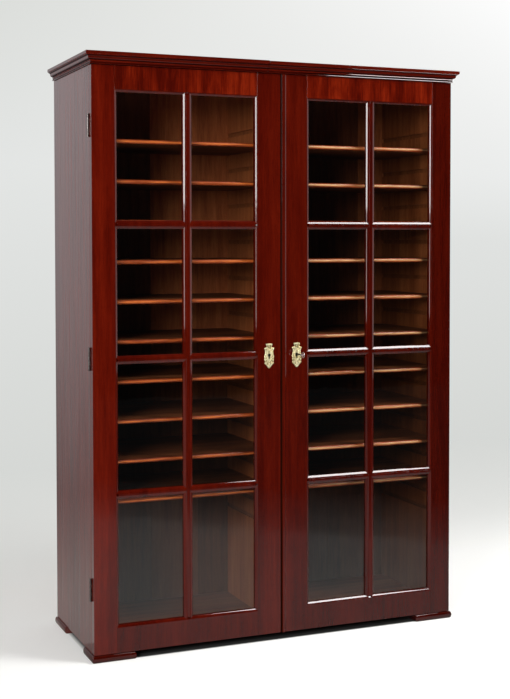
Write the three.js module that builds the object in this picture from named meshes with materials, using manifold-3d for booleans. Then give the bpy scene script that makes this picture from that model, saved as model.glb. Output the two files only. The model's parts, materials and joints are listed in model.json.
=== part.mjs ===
// A mahogany bookcase with two glazed doors, slotted shelf bays, a moulded cornice and block feet.
// Millimetres, +Z up, +X to the viewer's right. The doors face -Y.
// Inside the assembly, Y is zero on the doors' front face and Z is zero on the floor.
import * as THREE from "three";
import { mergeVertices } from "three/addons/utils/BufferGeometryUtils.js";
import Module from "manifold-3d";

const wasm = await Module();
wasm.setup();

// Fits
const seatGap = 0.3;
const cutOverrun = 5;

// Carcass
const carcassWidth = 1340;
const carcassHeight = 1928;
const overallDepth = 492;
const sideThickness = 22;
const partitionThickness = 24;
const topThickness = 22;
const bottomThickness = 25;
const backThickness = 12;
const backRebate = 10;
const housingDepth = 6;

// Shelves and the slots that carry them
const slotCount = 22;
const shelvesPerBay = 10;
const topSlotDrop = 169;
const lowestSlotHeight = 367.6;
const shelfThickness = 14;
const shelfSetback = 11;

// Cornice, with its profile measured out from the door face and up from the carcass top
const corniceHeight = 40;
const corniceOverhang = 23;
const corniceFrontDepth = 62;
const corniceSideDepth = 45;
const corniceFilletHeight = 10.5;
const corniceBandOverhang = 4;
const corniceBandHeight = 12;
const corniceBeadHeight = 3;
const corniceBeadOverhang = 5.5;
const corniceStepWidth = 2.5;
const corniceQuirk = 1.2;
const corniceSeamOffset = 52;
const corniceSeamWidth = 0.8;
const corniceSeamDepth = 1;

// Feet
const footHeight = 23;
const footRun = 150;
const footFrontLength = 116;
const footRearLength = 140;
const footOverhang = 8;
const footRounding = 5;

// Doors
const doorThickness = 28;
const doorBackGap = 1.2;
const doorEndGap = 1.2;
const meetingGap = 2.5;
const meetingOffset = 2.75;
const hingeStileWidth = 77;
const leftMeetingStileWidth = 85.5;
const rightMeetingStileWidth = 98;
const topRailWidth = 76.5;
const bottomRailWidth = 83.5;
const tenonLength = 32;
const tenonThickness = 9;
const tenonShoulder = 12;
const stripWidth = 18.5;
const stripProud = 3.5;
const stripRounding = 4.6;

// Mouldings of the door frames and glazing bars
const mouldWidth = 8.5;
const mouldQuirk = 0.8;
const mouldEdgeDepth = 6.5;
const lipDepth = 12;
const uprightBarWidth = 31.5;
const crossBarWidth = 27.3;
const paneRows = 4;
const glassThickness = 3;

// Butt hinges
const hingeHeight = 76;
const lowerHingeHeight = 211;
const upperHingeDrop = 194;
const knuckleRadius = 3.5;
const knuckleCount = 5;
const knuckleGap = 0.3;
const knuckleStandOff = 0.3;
const hingePinRadius = 1.6;
const hingePinPlay = 0.2;
const leafThickness = 2;
const leafReach = 18;

// Lock, key and escutcheons
const escutcheonWidth = 38;
const escutcheonHeight = 85;
const escutcheonThickness = 1.6;
const escutcheonReliefHeight = 1.4;
const leftKeyInset = 43;
const rightKeyInset = 58.5;
const keyholeRise = 2.8;
const keyholeRadius = 3.6;
const keyholeSlotWidth = 3.6;
const keyholeSlotDrop = 12;
const blindKeyholeDepth = 6;
const lockCaseLength = 79;
const lockCaseHeight = 60;
const lockCaseDepth = 17.4;
const lockWall = 2;
const boltHeight = 12;
const boltThickness = 4;
const boltHeadLength = 22;
const boltTailHeight = 3;
const boltThrow = 10;
const boltRecess = 1;
const boltPlay = 0.5;
const keyReach = 64;
const keyShankRadius = 2.8;
const keyTipClearance = 1.5;
const keyBitReach = 10.5;
const keyBitWidth = 2.6;
const keyBitLength = 5;
const keyBowHeight = 22;
const keyBowLength = 22;
const keyBowRim = 4;
const keyBowThickness = 3;
const keyCollarRadius = 4;
const keyCollarLength = 3;

// Numbers of sides and steps on round shapes
const roundSides = 16;
const arcSteps = 5;
const bowSteps = 12;
const outlineStepsPerPoint = 3;

// Places that follow from the sizes above
const carcassFront = doorThickness + doorBackGap;
const carcassBottom = footHeight + seatGap;
const carcassTop = carcassBottom + carcassHeight;
const halfWidth = carcassWidth / 2;
const backFace = overallDepth - backThickness;
const innerHalfWidth = halfWidth - sideThickness;
const halfPartition = partitionThickness / 2;
const floorOfBays = carcassBottom + bottomThickness;
const ceilingOfBays = carcassTop - topThickness;
const slotPitch = (carcassHeight - topSlotDrop - lowestSlotHeight) / (slotCount - 1);
const slotHeight = shelfThickness + 2 * seatGap;
const doorBottom = carcassBottom + doorEndGap;
const doorHeight = carcassHeight - 2 * doorEndGap;
const leftDoorWidth = halfWidth - meetingOffset - meetingGap / 2;
const rightDoorWidth = halfWidth + meetingOffset - meetingGap / 2;
const lockHeight = doorHeight / 2;
const keyHeight = lockHeight + keyholeRise;
const hingeHeights = [
  lowerHingeHeight,
  (lowerHingeHeight + doorHeight - upperHingeDrop) / 2,
  doorHeight - upperHingeDrop,
];
const hingeLevels = ["lower", "middle", "upper"];
const pinOut = knuckleRadius + knuckleStandOff;
const pinDepth = doorThickness + doorBackGap / 2;

// A closed geometry as a solid that can be joined and cut
function solidFrom(geometry) {
  const bare = new THREE.BufferGeometry();
  bare.setAttribute("position", geometry.getAttribute("position"));
  bare.setIndex(geometry.index);
  const merged = mergeVertices(bare);
  const mesh = new wasm.Mesh({
    numProp: 3,
    vertProperties: Float32Array.from(merged.getAttribute("position").array),
    triVerts: Uint32Array.from(merged.index.array),
  });
  return new wasm.Manifold(mesh);
}

// A joined or cut solid as a geometry
function geometryFrom(solid) {
  const { vertProperties, triVerts } = solid.getMesh();
  const geometry = new THREE.BufferGeometry();
  geometry.setAttribute("position", new THREE.BufferAttribute(vertProperties, 3));
  geometry.setIndex(new THREE.BufferAttribute(triVerts, 1));
  geometry.computeVertexNormals();
  return geometry;
}

// All solids of a list as one
function joined(solids) {
  return solids.reduce((whole, solid) => whole.add(solid));
}

// A solid with each solid of a list cut out of it
function cutBy(solid, cutters) {
  return cutters.reduce((rest, cutter) => rest.subtract(cutter), solid);
}

// A box from its spans along X, Y and Z
function boxSolid([x0, x1], [y0, y1], [z0, z1]) {
  const geometry = new THREE.BoxGeometry(x1 - x0, y1 - y0, z1 - z0);
  geometry.translate((x0 + x1) / 2, (y0 + y1) / 2, (z0 + z1) / 2);
  return solidFrom(geometry);
}

// A shape drawn in X and Z, extruded from one depth to another
function alongY(shape, [y0, y1]) {
  const geometry = new THREE.ExtrudeGeometry(shape, { depth: y1 - y0, bevelEnabled: false });
  geometry.rotateX(Math.PI / 2);
  geometry.translate(0, y1, 0);
  return solidFrom(geometry);
}

// An upright cylinder
function post(radius, [z0, z1]) {
  const geometry = new THREE.CylinderGeometry(radius, radius, z1 - z0, roundSides);
  geometry.rotateX(Math.PI / 2);
  geometry.translate(0, 0, (z0 + z1) / 2);
  return solidFrom(geometry);
}

// A cylinder lying along Y
function rod(radius, [y0, y1]) {
  const geometry = new THREE.CylinderGeometry(radius, radius, y1 - y0, roundSides);
  geometry.translate(0, (y0 + y1) / 2, 0);
  return solidFrom(geometry);
}

// The volume of an indexed triangle mesh, negative if its faces point inwards
function signedVolume(positions, index) {
  const corner = (n) => new THREE.Vector3().fromArray(positions, index[n] * 3);
  let volume = 0;
  for (let n = 0; n < index.length; n += 3) {
    volume += corner(n).dot(corner(n + 1).cross(corner(n + 2)));
  }
  return volume;
}

// A solid through one copy of an outline at each station of a route
function lofted(outline, stations) {
  const ring = THREE.ShapeUtils.isClockWise(outline) ? [...outline].reverse() : outline;
  const count = ring.length;
  const positions = stations.flatMap((place) => ring.flatMap((point) => place(point.x, point.y)));
  const index = [];
  for (let station = 0; station + 1 < stations.length; station++) {
    for (let n = 0; n < count; n++) {
      const a = station * count + n;
      const b = station * count + ((n + 1) % count);
      index.push(a, b, b + count, a, b + count, a + count);
    }
  }
  const last = (stations.length - 1) * count;
  for (const [a, b, c] of THREE.ShapeUtils.triangulateShape(ring, [])) {
    index.push(a, c, b, last + a, last + b, last + c);
  }
  if (signedVolume(positions, index) < 0) index.reverse();
  const geometry = new THREE.BufferGeometry();
  geometry.setAttribute("position", new THREE.Float32BufferAttribute(positions, 3));
  geometry.setIndex(index);
  return solidFrom(geometry);
}

// A flipped copy for the right-hand side
function flipped(solid) {
  return solid.mirror([1, 0, 0]);
}

// Finishes of the pieces
const polishedMahogany = { color: 0x5c1610, roughness: 0.28, metalness: 0 };
const flamedMahogany = { color: 0x74200f, roughness: 0.26, metalness: 0 };
const sideMahogany = { color: 0x6a3a34, roughness: 0.3, metalness: 0 };
const innerWood = { color: 0x5f3218, roughness: 0.6, metalness: 0 };
const shelfWood = { color: 0x96501f, roughness: 0.5, metalness: 0 };
const darkIron = { color: 0x3a3230, roughness: 0.4, metalness: 1 };
const paleBrass = { color: 0xd9c184, roughness: 0.3, metalness: 1 };
const keySteel = { color: 0xb8a8a4, roughness: 0.3, metalness: 1 };
const clearGlass = { color: 0xc8d0cc, roughness: 0.04, metalness: 0, transparent: true, opacity: 0.25 };

// A named mesh of a solid, with a material of its own
function piece(name, solid, finish) {
  const mesh = new THREE.Mesh(geometryFrom(solid), new THREE.MeshStandardMaterial(finish));
  mesh.name = name;
  return mesh;
}

// Height of the top edge of a slot, counted down from the top one
function slotTop(number) {
  return carcassTop - topSlotDrop - number * slotPitch;
}

// The slots of a grooved face, from the lowest up, as pairs of heights
function slotSpans() {
  const spans = [];
  for (let number = slotCount - 1; number >= 0; number--) {
    spans.push([slotTop(number) - slotHeight, slotTop(number)]);
  }
  return spans;
}

// The corners of the notches in a face, from the lowest up
function notchCorners(face, bottom, spans) {
  return spans.flatMap(([low, high]) => [[face, low], [bottom, low], [bottom, high], [face, high]]);
}

// A shape from a list of corners
function shapeOf(points) {
  return new THREE.Shape(points.map(([x, y]) => new THREE.Vector2(x, y)));
}

// Where a hinge's leaf is let into the wood, round the hinge's own pin axis
function leafRecess([y0, y1]) {
  const reach = pinOut + leafReach + seatGap;
  const half = hingeHeight / 2 + seatGap;
  return boxSolid([0, reach], [y0, y1], [-half, half]);
}

// The left side, grooved inside, with housings, a rebate for the back and the leaf recesses
function sidePanel() {
  const outer = -halfWidth;
  const inner = -innerHalfWidth;
  const lowHousing = [carcassBottom, floorOfBays + seatGap];
  const highHousing = [ceilingOfBays - seatGap, carcassTop];
  const spans = [lowHousing, ...slotSpans(), highHousing];
  const inside = notchCorners(inner, inner - housingDepth, spans).slice(1, -1);
  const shape = shapeOf([[outer, carcassBottom], ...inside, [outer, carcassTop]]);
  const panel = alongY(shape, [carcassFront, overallDepth]);
  const rebate = boxSolid(
    [inner - backRebate - seatGap, inner + cutOverrun],
    [backFace - seatGap, overallDepth + cutOverrun],
    [carcassBottom - cutOverrun, carcassTop + cutOverrun],
  );
  const recess = leafRecess([-cutOverrun, doorBackGap / 2 + leafThickness + seatGap]);
  const recesses = hingeHeights.map((height) =>
    recess.translate([outer - pinOut, pinDepth, doorBottom + height]));
  return cutBy(panel, [rebate, ...recesses]);
}

// The partition between the bays, grooved on both faces and housed in the top and bottom boards
function partition() {
  const low = floorOfBays - housingDepth + seatGap;
  const high = ceilingOfBays + housingDepth - seatGap;
  const depth = halfPartition - housingDepth;
  const notches = notchCorners(halfPartition, depth, slotSpans());
  const right = [[halfPartition, low], ...notches, [halfPartition, high]];
  const left = right.map(([x, z]) => [-x, z]).reverse();
  return alongY(shapeOf([...right, ...left]), [carcassFront, backFace - seatGap]);
}

// A top or bottom board, housed in the sides and cut for the partition's end
function endBoard([z0, z1], [cutLow, cutHigh]) {
  const reach = innerHalfWidth + housingDepth - seatGap;
  const half = halfPartition + seatGap;
  const board = boxSolid([-reach, reach], [carcassFront, backFace - seatGap], [z0, z1]);
  return board.subtract(boxSolid([-half, half], [0, overallDepth], [cutLow, cutHigh]));
}

// The back, seated in the rebates of the sides
function backPanel() {
  const reach = innerHalfWidth + backRebate;
  return boxSolid([-reach, reach], [backFace, overallDepth], [carcassBottom, carcassTop]);
}

// A shelf, with both ends in slots
function shelf() {
  const length = innerHalfWidth - halfPartition + 2 * (housingDepth - seatGap);
  const depth = backFace - seatGap - carcassFront - shelfSetback;
  return boxSolid([-length / 2, length / 2], [0, depth], [0, shelfThickness]);
}

// Points of a quarter round from its flat start to its steep end
function quarterRound(start, end) {
  const points = [];
  for (let step = 0; step <= arcSteps; step++) {
    const turn = (step / arcSteps) * (Math.PI / 2);
    const along = start[0] + (end[0] - start[0]) * Math.sin(turn);
    const down = start[1] + (end[1] - start[1]) * (1 - Math.cos(turn));
    points.push([along, down]);
  }
  return points;
}

// The cornice's section: distance out from the door face, and height above the carcass top
function corniceOutline() {
  const filletFoot = corniceHeight - corniceFilletHeight;
  const coveTop = filletFoot - corniceQuirk;
  const coveEdge = corniceOverhang - corniceStepWidth;
  const coveFoot = corniceBandHeight + corniceQuirk;
  const coveStart = corniceBandOverhang + corniceStepWidth;
  const middle = [(coveStart + coveEdge) / 2, (coveFoot + coveTop) / 2];
  const round = quarterRound([coveStart, coveFoot], middle);
  const hollow = quarterRound([coveEdge, coveTop], middle).reverse();
  const points = [
    [-corniceSideDepth, 0],
    [corniceBeadOverhang - corniceQuirk, 0],
    [corniceBeadOverhang, corniceQuirk],
    [corniceBeadOverhang, corniceBeadHeight - corniceQuirk],
    [corniceBandOverhang, corniceBeadHeight],
    [corniceBandOverhang, corniceBandHeight],
    [coveStart, corniceBandHeight],
    ...round,
    ...hollow.slice(1),
    [coveEdge, filletFoot],
    [corniceOverhang, filletFoot],
    [corniceOverhang, corniceHeight],
    [-corniceSideDepth, corniceHeight],
  ];
  return points.map(([out, up]) => new THREE.Vector2(out, up));
}

// The cornice: left return, front and right return, mitred at the corners, with a seam left of the middle
function cornice() {
  const seat = carcassTop + seatGap;
  const inwards = (out) => (out < 0 ? corniceFrontDepth : -out);
  const front = (x, sunk) => (out, up) => [x, inwards(out > 0 ? out - sunk : out), seat + up];
  return lofted(corniceOutline(), [
    (out, up) => [-halfWidth - out, overallDepth, seat + up],
    (out, up) => [-halfWidth - out, inwards(out), seat + up],
    front(-corniceSeamOffset - corniceSeamWidth / 2, 0),
    front(-corniceSeamOffset, corniceSeamDepth),
    front(-corniceSeamOffset + corniceSeamWidth / 2, 0),
    (out, up) => [halfWidth + out, inwards(out), seat + up],
    (out, up) => [halfWidth + out, overallDepth, seat + up],
  ]);
}

// A block foot with its outer side rounded, and its front too where it shows, from its outer front corner
function foot(length, frontRounding) {
  const outline = [
    new THREE.Vector2(0, 0),
    new THREE.Vector2(footRun, 0),
    new THREE.Vector2(footRun, length),
    new THREE.Vector2(0, length),
  ];
  const stations = [];
  for (let step = 0; step <= 2 * arcSteps; step++) {
    const turn = (step / (2 * arcSteps)) * Math.PI;
    const insetShare = 1 - Math.sin(turn);
    const height = (footHeight * (1 - Math.cos(turn))) / 2;
    stations.push((x, y) => [x || footRounding * insetShare, y || frontRounding * insetShare, height]);
  }
  return lofted(outline, stations);
}

// The section of the moulding on a door frame: distance into the opening, and depth behind the face
function mouldOutline() {
  const points = [[0, lipDepth], [0, mouldQuirk], [mouldWidth, mouldEdgeDepth], [mouldWidth, lipDepth]];
  return points.map(([into, depth]) => new THREE.Vector2(into, depth));
}

// The same section run on behind and outwards, for coping the bars to it
function copeOutline() {
  const behind = lipDepth + cutOverrun;
  const points = [
    [-cutOverrun, behind],
    [-cutOverrun, mouldQuirk],
    [0, mouldQuirk],
    [mouldWidth, mouldEdgeDepth],
    [mouldWidth, behind],
  ];
  return points.map(([into, depth]) => new THREE.Vector2(into, depth));
}

// The section of a glazing bar, moulded on both edges: place across it, and depth behind the face
function barOutline(width) {
  const half = width / 2;
  const flat = half - mouldWidth;
  const right = [[flat, 0], [flat, mouldQuirk], [half, mouldEdgeDepth], [half, lipDepth]];
  const left = right.map(([across, depth]) => [-across, depth]).reverse();
  return [...left, ...right].map(([across, depth]) => new THREE.Vector2(across, depth));
}

// The frame opening of a door, measured to the flat edges of its stiles and rails
function openingOf(width, meetingStileWidth) {
  return {
    x0: hingeStileWidth,
    x1: width - meetingStileWidth,
    z0: bottomRailWidth,
    z1: doorHeight - topRailWidth,
  };
}

// The four mitred strips of an outline round a door's opening, the level ones ending short of the stiles
function mouldStrips({ x0, x1, z0, z1 }, outline, endGap) {
  return {
    hinge: lofted(outline, [
      (into, depth) => [x0 + into, depth, z0 + into],
      (into, depth) => [x0 + into, depth, z1 - into],
    ]),
    meeting: lofted(outline, [
      (into, depth) => [x1 - into, depth, z0 + into],
      (into, depth) => [x1 - into, depth, z1 - into],
    ]),
    bottom: lofted(outline, [
      (into, depth) => [x0 + endGap + into, depth, z0 + into],
      (into, depth) => [x1 - endGap - into, depth, z0 + into],
    ]),
    top: lofted(outline, [
      (into, depth) => [x0 + endGap + into, depth, z1 - into],
      (into, depth) => [x1 - endGap - into, depth, z1 - into],
    ]),
  };
}

// The tenon of a rail's end, or with some play the mortise for it
function tenon([x0, x1], [z0, z1], play) {
  const middle = (lipDepth + doorThickness) / 2;
  const half = tenonThickness / 2 + play;
  return boxSolid(
    [x0 - play, x1 + play],
    [middle - half, middle + half],
    [z0 + tenonShoulder - play, z1 - tenonShoulder + play],
  );
}

// The heights of a door's two rails
const railSpans = [[0, bottomRailWidth], [doorHeight - topRailWidth, doorHeight]];

// A rail between the stiles, with its moulding and a tenon at each end
function rail({ x0, x1 }, span, strip) {
  const board = boxSolid([x0 + seatGap, x1 - seatGap], [0, doorThickness], span);
  const nearTenon = tenon([x0 - tenonLength, x0 + 2 * seatGap], span, 0);
  const farTenon = tenon([x1 - 2 * seatGap, x1 + tenonLength], span, 0);
  return joined([board, strip, nearTenon, farTenon]);
}

// The stile that carries the hinges
function hingeStile({ x0 }, strip) {
  const board = boxSolid([0, x0], [0, doorThickness], [0, doorHeight]);
  const mortises = railSpans.map((span) => tenon([x0 - tenonLength, x0 + cutOverrun], span, seatGap));
  const recess = leafRecess([-doorBackGap / 2 - leafThickness - seatGap, cutOverrun]);
  const recesses = hingeHeights.map((height) => recess.translate([-pinOut, pinDepth, height]));
  return cutBy(board, [...mortises, ...recesses]).add(strip);
}

// The stile at the middle of the bookcase
function meetingStile({ x1 }, width, strip) {
  const board = boxSolid([x1, width], [0, doorThickness], [0, doorHeight]);
  const mortises = railSpans.map((span) => tenon([x1 - cutOverrun, x1 + tenonLength], span, seatGap));
  return cutBy(board, mortises).add(strip);
}

// The flat strip with eased edges that covers the right door's meeting edge
function coverStrip(width) {
  const outline = shapeOf([
    [width - stripWidth, 0],
    [width - stripWidth + stripRounding, -stripProud],
    [width - stripRounding, -stripProud],
    [width, 0],
  ]);
  const geometry = new THREE.ExtrudeGeometry(outline, { depth: doorHeight, bevelEnabled: false });
  return solidFrom(geometry);
}

// One upright bar and the cross bars, joined, and coped to the mouldings of the frame
function glazingBars(opening) {
  const { x0, x1, z0, z1 } = opening;
  const middle = (x0 + x1) / 2;
  const upright = lofted(barOutline(uprightBarWidth), [
    (across, depth) => [middle + across, depth, z0 + seatGap],
    (across, depth) => [middle + across, depth, z1 - seatGap],
  ]);
  const sightFoot = z0 + mouldWidth;
  const sightHeight = z1 - z0 - 2 * mouldWidth;
  const paneHeight = (sightHeight - (paneRows - 1) * crossBarWidth) / paneRows;
  const bars = [upright];
  for (let row = 1; row < paneRows; row++) {
    const centre = sightFoot + row * (paneHeight + crossBarWidth) - crossBarWidth / 2;
    bars.push(lofted(barOutline(crossBarWidth), [
      (across, depth) => [x0 + seatGap, depth, centre + across],
      (across, depth) => [x1 - seatGap, depth, centre + across],
    ]));
  }
  const strips = mouldStrips(opening, copeOutline(), 0);
  return cutBy(joined(bars), [
    strips.hinge.translate([seatGap, -seatGap, 0]),
    strips.meeting.translate([-seatGap, -seatGap, 0]),
    strips.bottom.translate([0, -seatGap, seatGap]),
    strips.top.translate([0, -seatGap, -seatGap]),
  ]);
}

// The glass behind the bars, resting against the lips of the frame
function glassSheet({ x0, x1, z0, z1 }) {
  const front = lipDepth + seatGap;
  return boxSolid(
    [x0 + seatGap, x1 - seatGap],
    [front, front + glassThickness],
    [z0 + seatGap, z1 - seatGap],
  );
}

// The section of a leaf and its barrel, round the pin axis, on the side that faces the given way
function leafSection(facing) {
  const near = doorBackGap / 2;
  const far = near + leafThickness;
  const start = Math.asin(far / knuckleRadius);
  const sweep = 2 * Math.PI + Math.asin(near / knuckleRadius) - start;
  const points = [];
  for (let step = 0; step <= roundSides; step++) {
    const turn = start + (step / roundSides) * sweep;
    points.push([knuckleRadius * Math.cos(turn), facing * knuckleRadius * Math.sin(turn)]);
  }
  points.push([pinOut + leafReach, facing * near], [pinOut + leafReach, facing * far]);
  return shapeOf(facing > 0 ? points : points.reverse());
}

// A leaf round the pin axis, without every second knuckle, counted from the given one
function hingeLeaf(facing, firstMissing) {
  const section = leafSection(facing);
  const geometry = new THREE.ExtrudeGeometry(section, { depth: hingeHeight, bevelEnabled: false });
  geometry.translate(0, 0, -hingeHeight / 2);
  const knuckleFoot = (number) => (number / knuckleCount - 1 / 2) * hingeHeight;
  const clear = knuckleRadius + knuckleGap;
  const cuts = [];
  for (let number = firstMissing; number < knuckleCount; number += 2) {
    const below = number === 0 ? cutOverrun : knuckleGap / 2;
    const above = number === knuckleCount - 1 ? cutOverrun : knuckleGap / 2;
    const span = [knuckleFoot(number) - below, knuckleFoot(number + 1) + above];
    cuts.push(boxSolid([-clear, clear], [-clear, clear], span));
  }
  return cutBy(solidFrom(geometry), cuts);
}

// The carcass leaf, with the pin through its knuckles
function carcassLeaf() {
  const half = hingeHeight / 2 - knuckleGap;
  return hingeLeaf(1, 1).add(post(hingePinRadius, [-half, half]));
}

// The door leaf, bored for the pin
function doorLeaf() {
  return hingeLeaf(-1, 0).subtract(post(hingePinRadius + hingePinPlay, [-hingeHeight, hingeHeight]));
}

// A keyhole with its round end on the key's axis, cut from one depth to another
function keyhole([y0, y1], play) {
  const half = keyholeSlotWidth / 2 + play;
  const slot = boxSolid([-half, half], [y0, y1], [-keyholeSlotDrop - play, 0]);
  return slot.add(rod(keyholeRadius + play, [y0, y1]));
}

// Half widths of an escutcheon at falling heights: crown, neck, shoulders, lobed sides, pointed foot
const escutcheonShares = [
  [0.25, 0], [0.63, 0.02], [0.47, 0.09], [0.46, 0.155],
  [0.97, 0.185], [0.84, 0.26], [0.8, 0.36], [0.87, 0.46],
  [1, 0.54], [0.88, 0.6], [0.96, 0.67], [0.82, 0.74],
  [0.94, 0.8], [0.57, 0.88], [0.33, 0.95], [0.12, 1],
];
const escutcheonReliefShare = 0.7;

// An escutcheon's outline at a scale, with its middle at the origin
function escutcheonShape(scale) {
  const right = escutcheonShares.map(([out, fall]) =>
    new THREE.Vector2((out * scale * escutcheonWidth) / 2, (1 / 2 - fall) * scale * escutcheonHeight));
  const curve = new THREE.SplineCurve(right).getPoints(outlineStepsPerPoint * right.length);
  const left = curve.map((point) => new THREE.Vector2(-point.x, point.y)).reverse();
  return new THREE.Shape([...curve, ...left]);
}

// A cast escutcheon with a raised middle and a keyhole, its back on the door face
function escutcheon() {
  const plate = alongY(escutcheonShape(1), [-escutcheonThickness, 0]);
  const raised = -escutcheonThickness - escutcheonReliefHeight;
  const relief = alongY(escutcheonShape(escutcheonReliefShare), [raised, -escutcheonThickness / 2]);
  const hole = keyhole([raised - cutOverrun, cutOverrun], 0).translate([0, 0, keyholeRise]);
  return plate.add(relief).subtract(hole);
}

// The room of the lock case in the back of the right meeting stile, grown by some play and open to the back
function lockPocket() {
  const half = lockCaseHeight / 2 + seatGap;
  return boxSolid(
    [rightDoorWidth - lockCaseLength - seatGap, rightDoorWidth + cutOverrun],
    [doorThickness - lockCaseDepth - seatGap, doorThickness + cutOverrun],
    [lockHeight - half, lockHeight + half],
  );
}

// Where the bolt lies in the door, as spans along X, Y and Z, at its head
const boltTop = keyHeight + keyBitReach + lockWall + boltTailHeight;
const boltMiddle = doorThickness - lockCaseDepth / 2;
const boltDepths = [boltMiddle - boltThickness / 2, boltMiddle + boltThickness / 2];
const boltNose = rightDoorWidth - boltRecess;

// The slot or pocket that the bolt's head runs in
function boltWay([x0, x1]) {
  const [y0, y1] = boltDepths;
  const heights = [boltTop - boltHeight - boltPlay, boltTop + boltPlay];
  return boxSolid([x0, x1], [y0 - boltPlay, y1 + boltPlay], heights);
}

// The lock's case, hollow, with a keyhole in its front and a way out for the bolt
function lockCase() {
  const block = boxSolid(
    [rightDoorWidth - lockCaseLength, rightDoorWidth - seatGap],
    [doorThickness - lockCaseDepth, doorThickness - seatGap],
    [lockHeight - lockCaseHeight / 2, lockHeight + lockCaseHeight / 2],
  );
  const hollow = boxSolid(
    [rightDoorWidth - lockCaseLength + lockWall, rightDoorWidth - 2 * lockWall],
    [doorThickness - lockCaseDepth + lockWall, doorThickness - lockWall],
    [lockHeight - lockCaseHeight / 2 + lockWall, lockHeight + lockCaseHeight / 2 - lockWall],
  );
  const hole = keyhole([0, doorThickness / 2], 0).translate([rightDoorWidth - rightKeyInset, 0, keyHeight]);
  return cutBy(block, [hollow, hole, boltWay([boltNose - boltHeadLength, rightDoorWidth + cutOverrun])]);
}

// The bolt: a head at the edge of the door, and a tail that passes over the sweep of the key's bit
function lockBolt() {
  const headBack = boltNose - boltHeadLength;
  const tailBack = rightDoorWidth - rightKeyInset;
  const head = boxSolid([headBack, boltNose], boltDepths, [boltTop - boltHeight, boltTop]);
  const tail = boxSolid([tailBack, headBack + seatGap], boltDepths, [boltTop - boltTailHeight, boltTop]);
  return head.add(tail);
}

// The key on its own axis, with its bow upright in front and its bit hanging inside the lock
function key() {
  const tip = doorThickness - lockWall - keyTipClearance;
  const bowEnd = -keyReach;
  const bowMiddle = bowEnd + keyBowLength / 2;
  const neck = bowEnd + keyBowLength;
  const shank = rod(keyShankRadius, [neck - keyBowRim / 2, tip]);
  const collar = rod(keyCollarRadius, [neck, neck + keyCollarLength]);
  const bitBack = tip - keyTipClearance;
  const bitHalf = keyBitWidth / 2;
  const bit = boxSolid([-bitHalf, bitHalf], [bitBack - keyBitLength, bitBack], [-keyBitReach, 0]);
  const bowShape = new THREE.Shape();
  bowShape.absellipse(bowMiddle, 0, keyBowLength / 2, keyBowHeight / 2, 0, 2 * Math.PI);
  const eye = new THREE.Path();
  eye.absellipse(bowMiddle, 0, keyBowLength / 2 - keyBowRim, keyBowHeight / 2 - keyBowRim, 0, 2 * Math.PI);
  bowShape.holes.push(eye);
  const bow = new THREE.ExtrudeGeometry(bowShape, {
    depth: keyBowThickness,
    bevelEnabled: false,
    curveSegments: bowSteps,
  });
  bow.translate(0, 0, -keyBowThickness / 2);
  bow.rotateX(Math.PI / 2);
  bow.rotateZ(Math.PI / 2);
  return joined([shank, collar, bit, solidFrom(bow)]);
}

// The left meeting stile's own cuts: a blind keyhole and the pocket that takes the bolt
function dressLeftStile(stile) {
  const hole = keyhole([-cutOverrun, blindKeyholeDepth], boltPlay);
  return cutBy(stile, [
    hole.translate([leftDoorWidth - leftKeyInset, 0, keyHeight]),
    boltWay([leftDoorWidth - boltThrow, leftDoorWidth + cutOverrun]),
  ]);
}

// The right meeting stile's cover strip, keyhole and lock pocket
function dressRightStile(stile) {
  const hole = keyhole([-cutOverrun, doorThickness], boltPlay);
  return cutBy(stile.add(coverStrip(rightDoorWidth)), [
    hole.translate([rightDoorWidth - rightKeyInset, 0, keyHeight]),
    lockPocket(),
  ]);
}

// What differs between the doors and between the sides of the carcass
const hands = {
  left: {
    sign: -1,
    turned: (solid) => solid,
    doorWidth: leftDoorWidth,
    meetingStileWidth: leftMeetingStileWidth,
    keyInset: leftKeyInset,
    dressStile: dressLeftStile,
  },
  right: {
    sign: 1,
    turned: flipped,
    doorWidth: rightDoorWidth,
    meetingStileWidth: rightMeetingStileWidth,
    keyInset: rightKeyInset,
    dressStile: dressRightStile,
  },
};

// A mesh or group moved to its place
function placed(mesh, x, y, z) {
  mesh.position.set(x, y, z);
  return mesh;
}

// A door in a group at the lower front corner of its hinge edge
function door(side) {
  const { sign, turned, doorWidth, meetingStileWidth, keyInset, dressStile } = hands[side];
  const opening = openingOf(doorWidth, meetingStileWidth);
  const strips = mouldStrips(opening, mouldOutline(), seatGap);
  const [bottomSpan, topSpan] = railSpans;
  const add = (name, solid, finish) => piece(`${side}_door_${name}`, turned(solid), finish);
  const group = placed(new THREE.Group(), sign * halfWidth, 0, doorBottom);
  group.add(
    add("hinge_stile", hingeStile(opening, strips.hinge), polishedMahogany),
    add("meeting_stile", dressStile(meetingStile(opening, doorWidth, strips.meeting)), polishedMahogany),
    add("top_rail", rail(opening, topSpan, strips.top), flamedMahogany),
    add("bottom_rail", rail(opening, bottomSpan, strips.bottom), polishedMahogany),
    add("glazing_bars", glazingBars(opening), polishedMahogany),
    add("glass", glassSheet(opening), clearGlass),
    placed(add("escutcheon", escutcheon(), paleBrass), sign * (keyInset - doorWidth), -seatGap, lockHeight),
  );
  hingeHeights.forEach((height, n) => {
    const leaf = piece(`${side}_${hingeLevels[n]}_hinge_door_leaf`, turned(doorLeaf()), darkIron);
    group.add(placed(leaf, sign * pinOut, pinDepth, height));
  });
  return group;
}

// The lock of the right door and its key, in the door's own frame
function lock() {
  const group = new THREE.Group();
  group.add(
    piece("lock_case", flipped(lockCase()), darkIron),
    piece("lock_bolt", flipped(lockBolt()), paleBrass),
    placed(piece("key", key(), keySteel), rightKeyInset - rightDoorWidth, 0, keyHeight),
  );
  return group;
}

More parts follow.
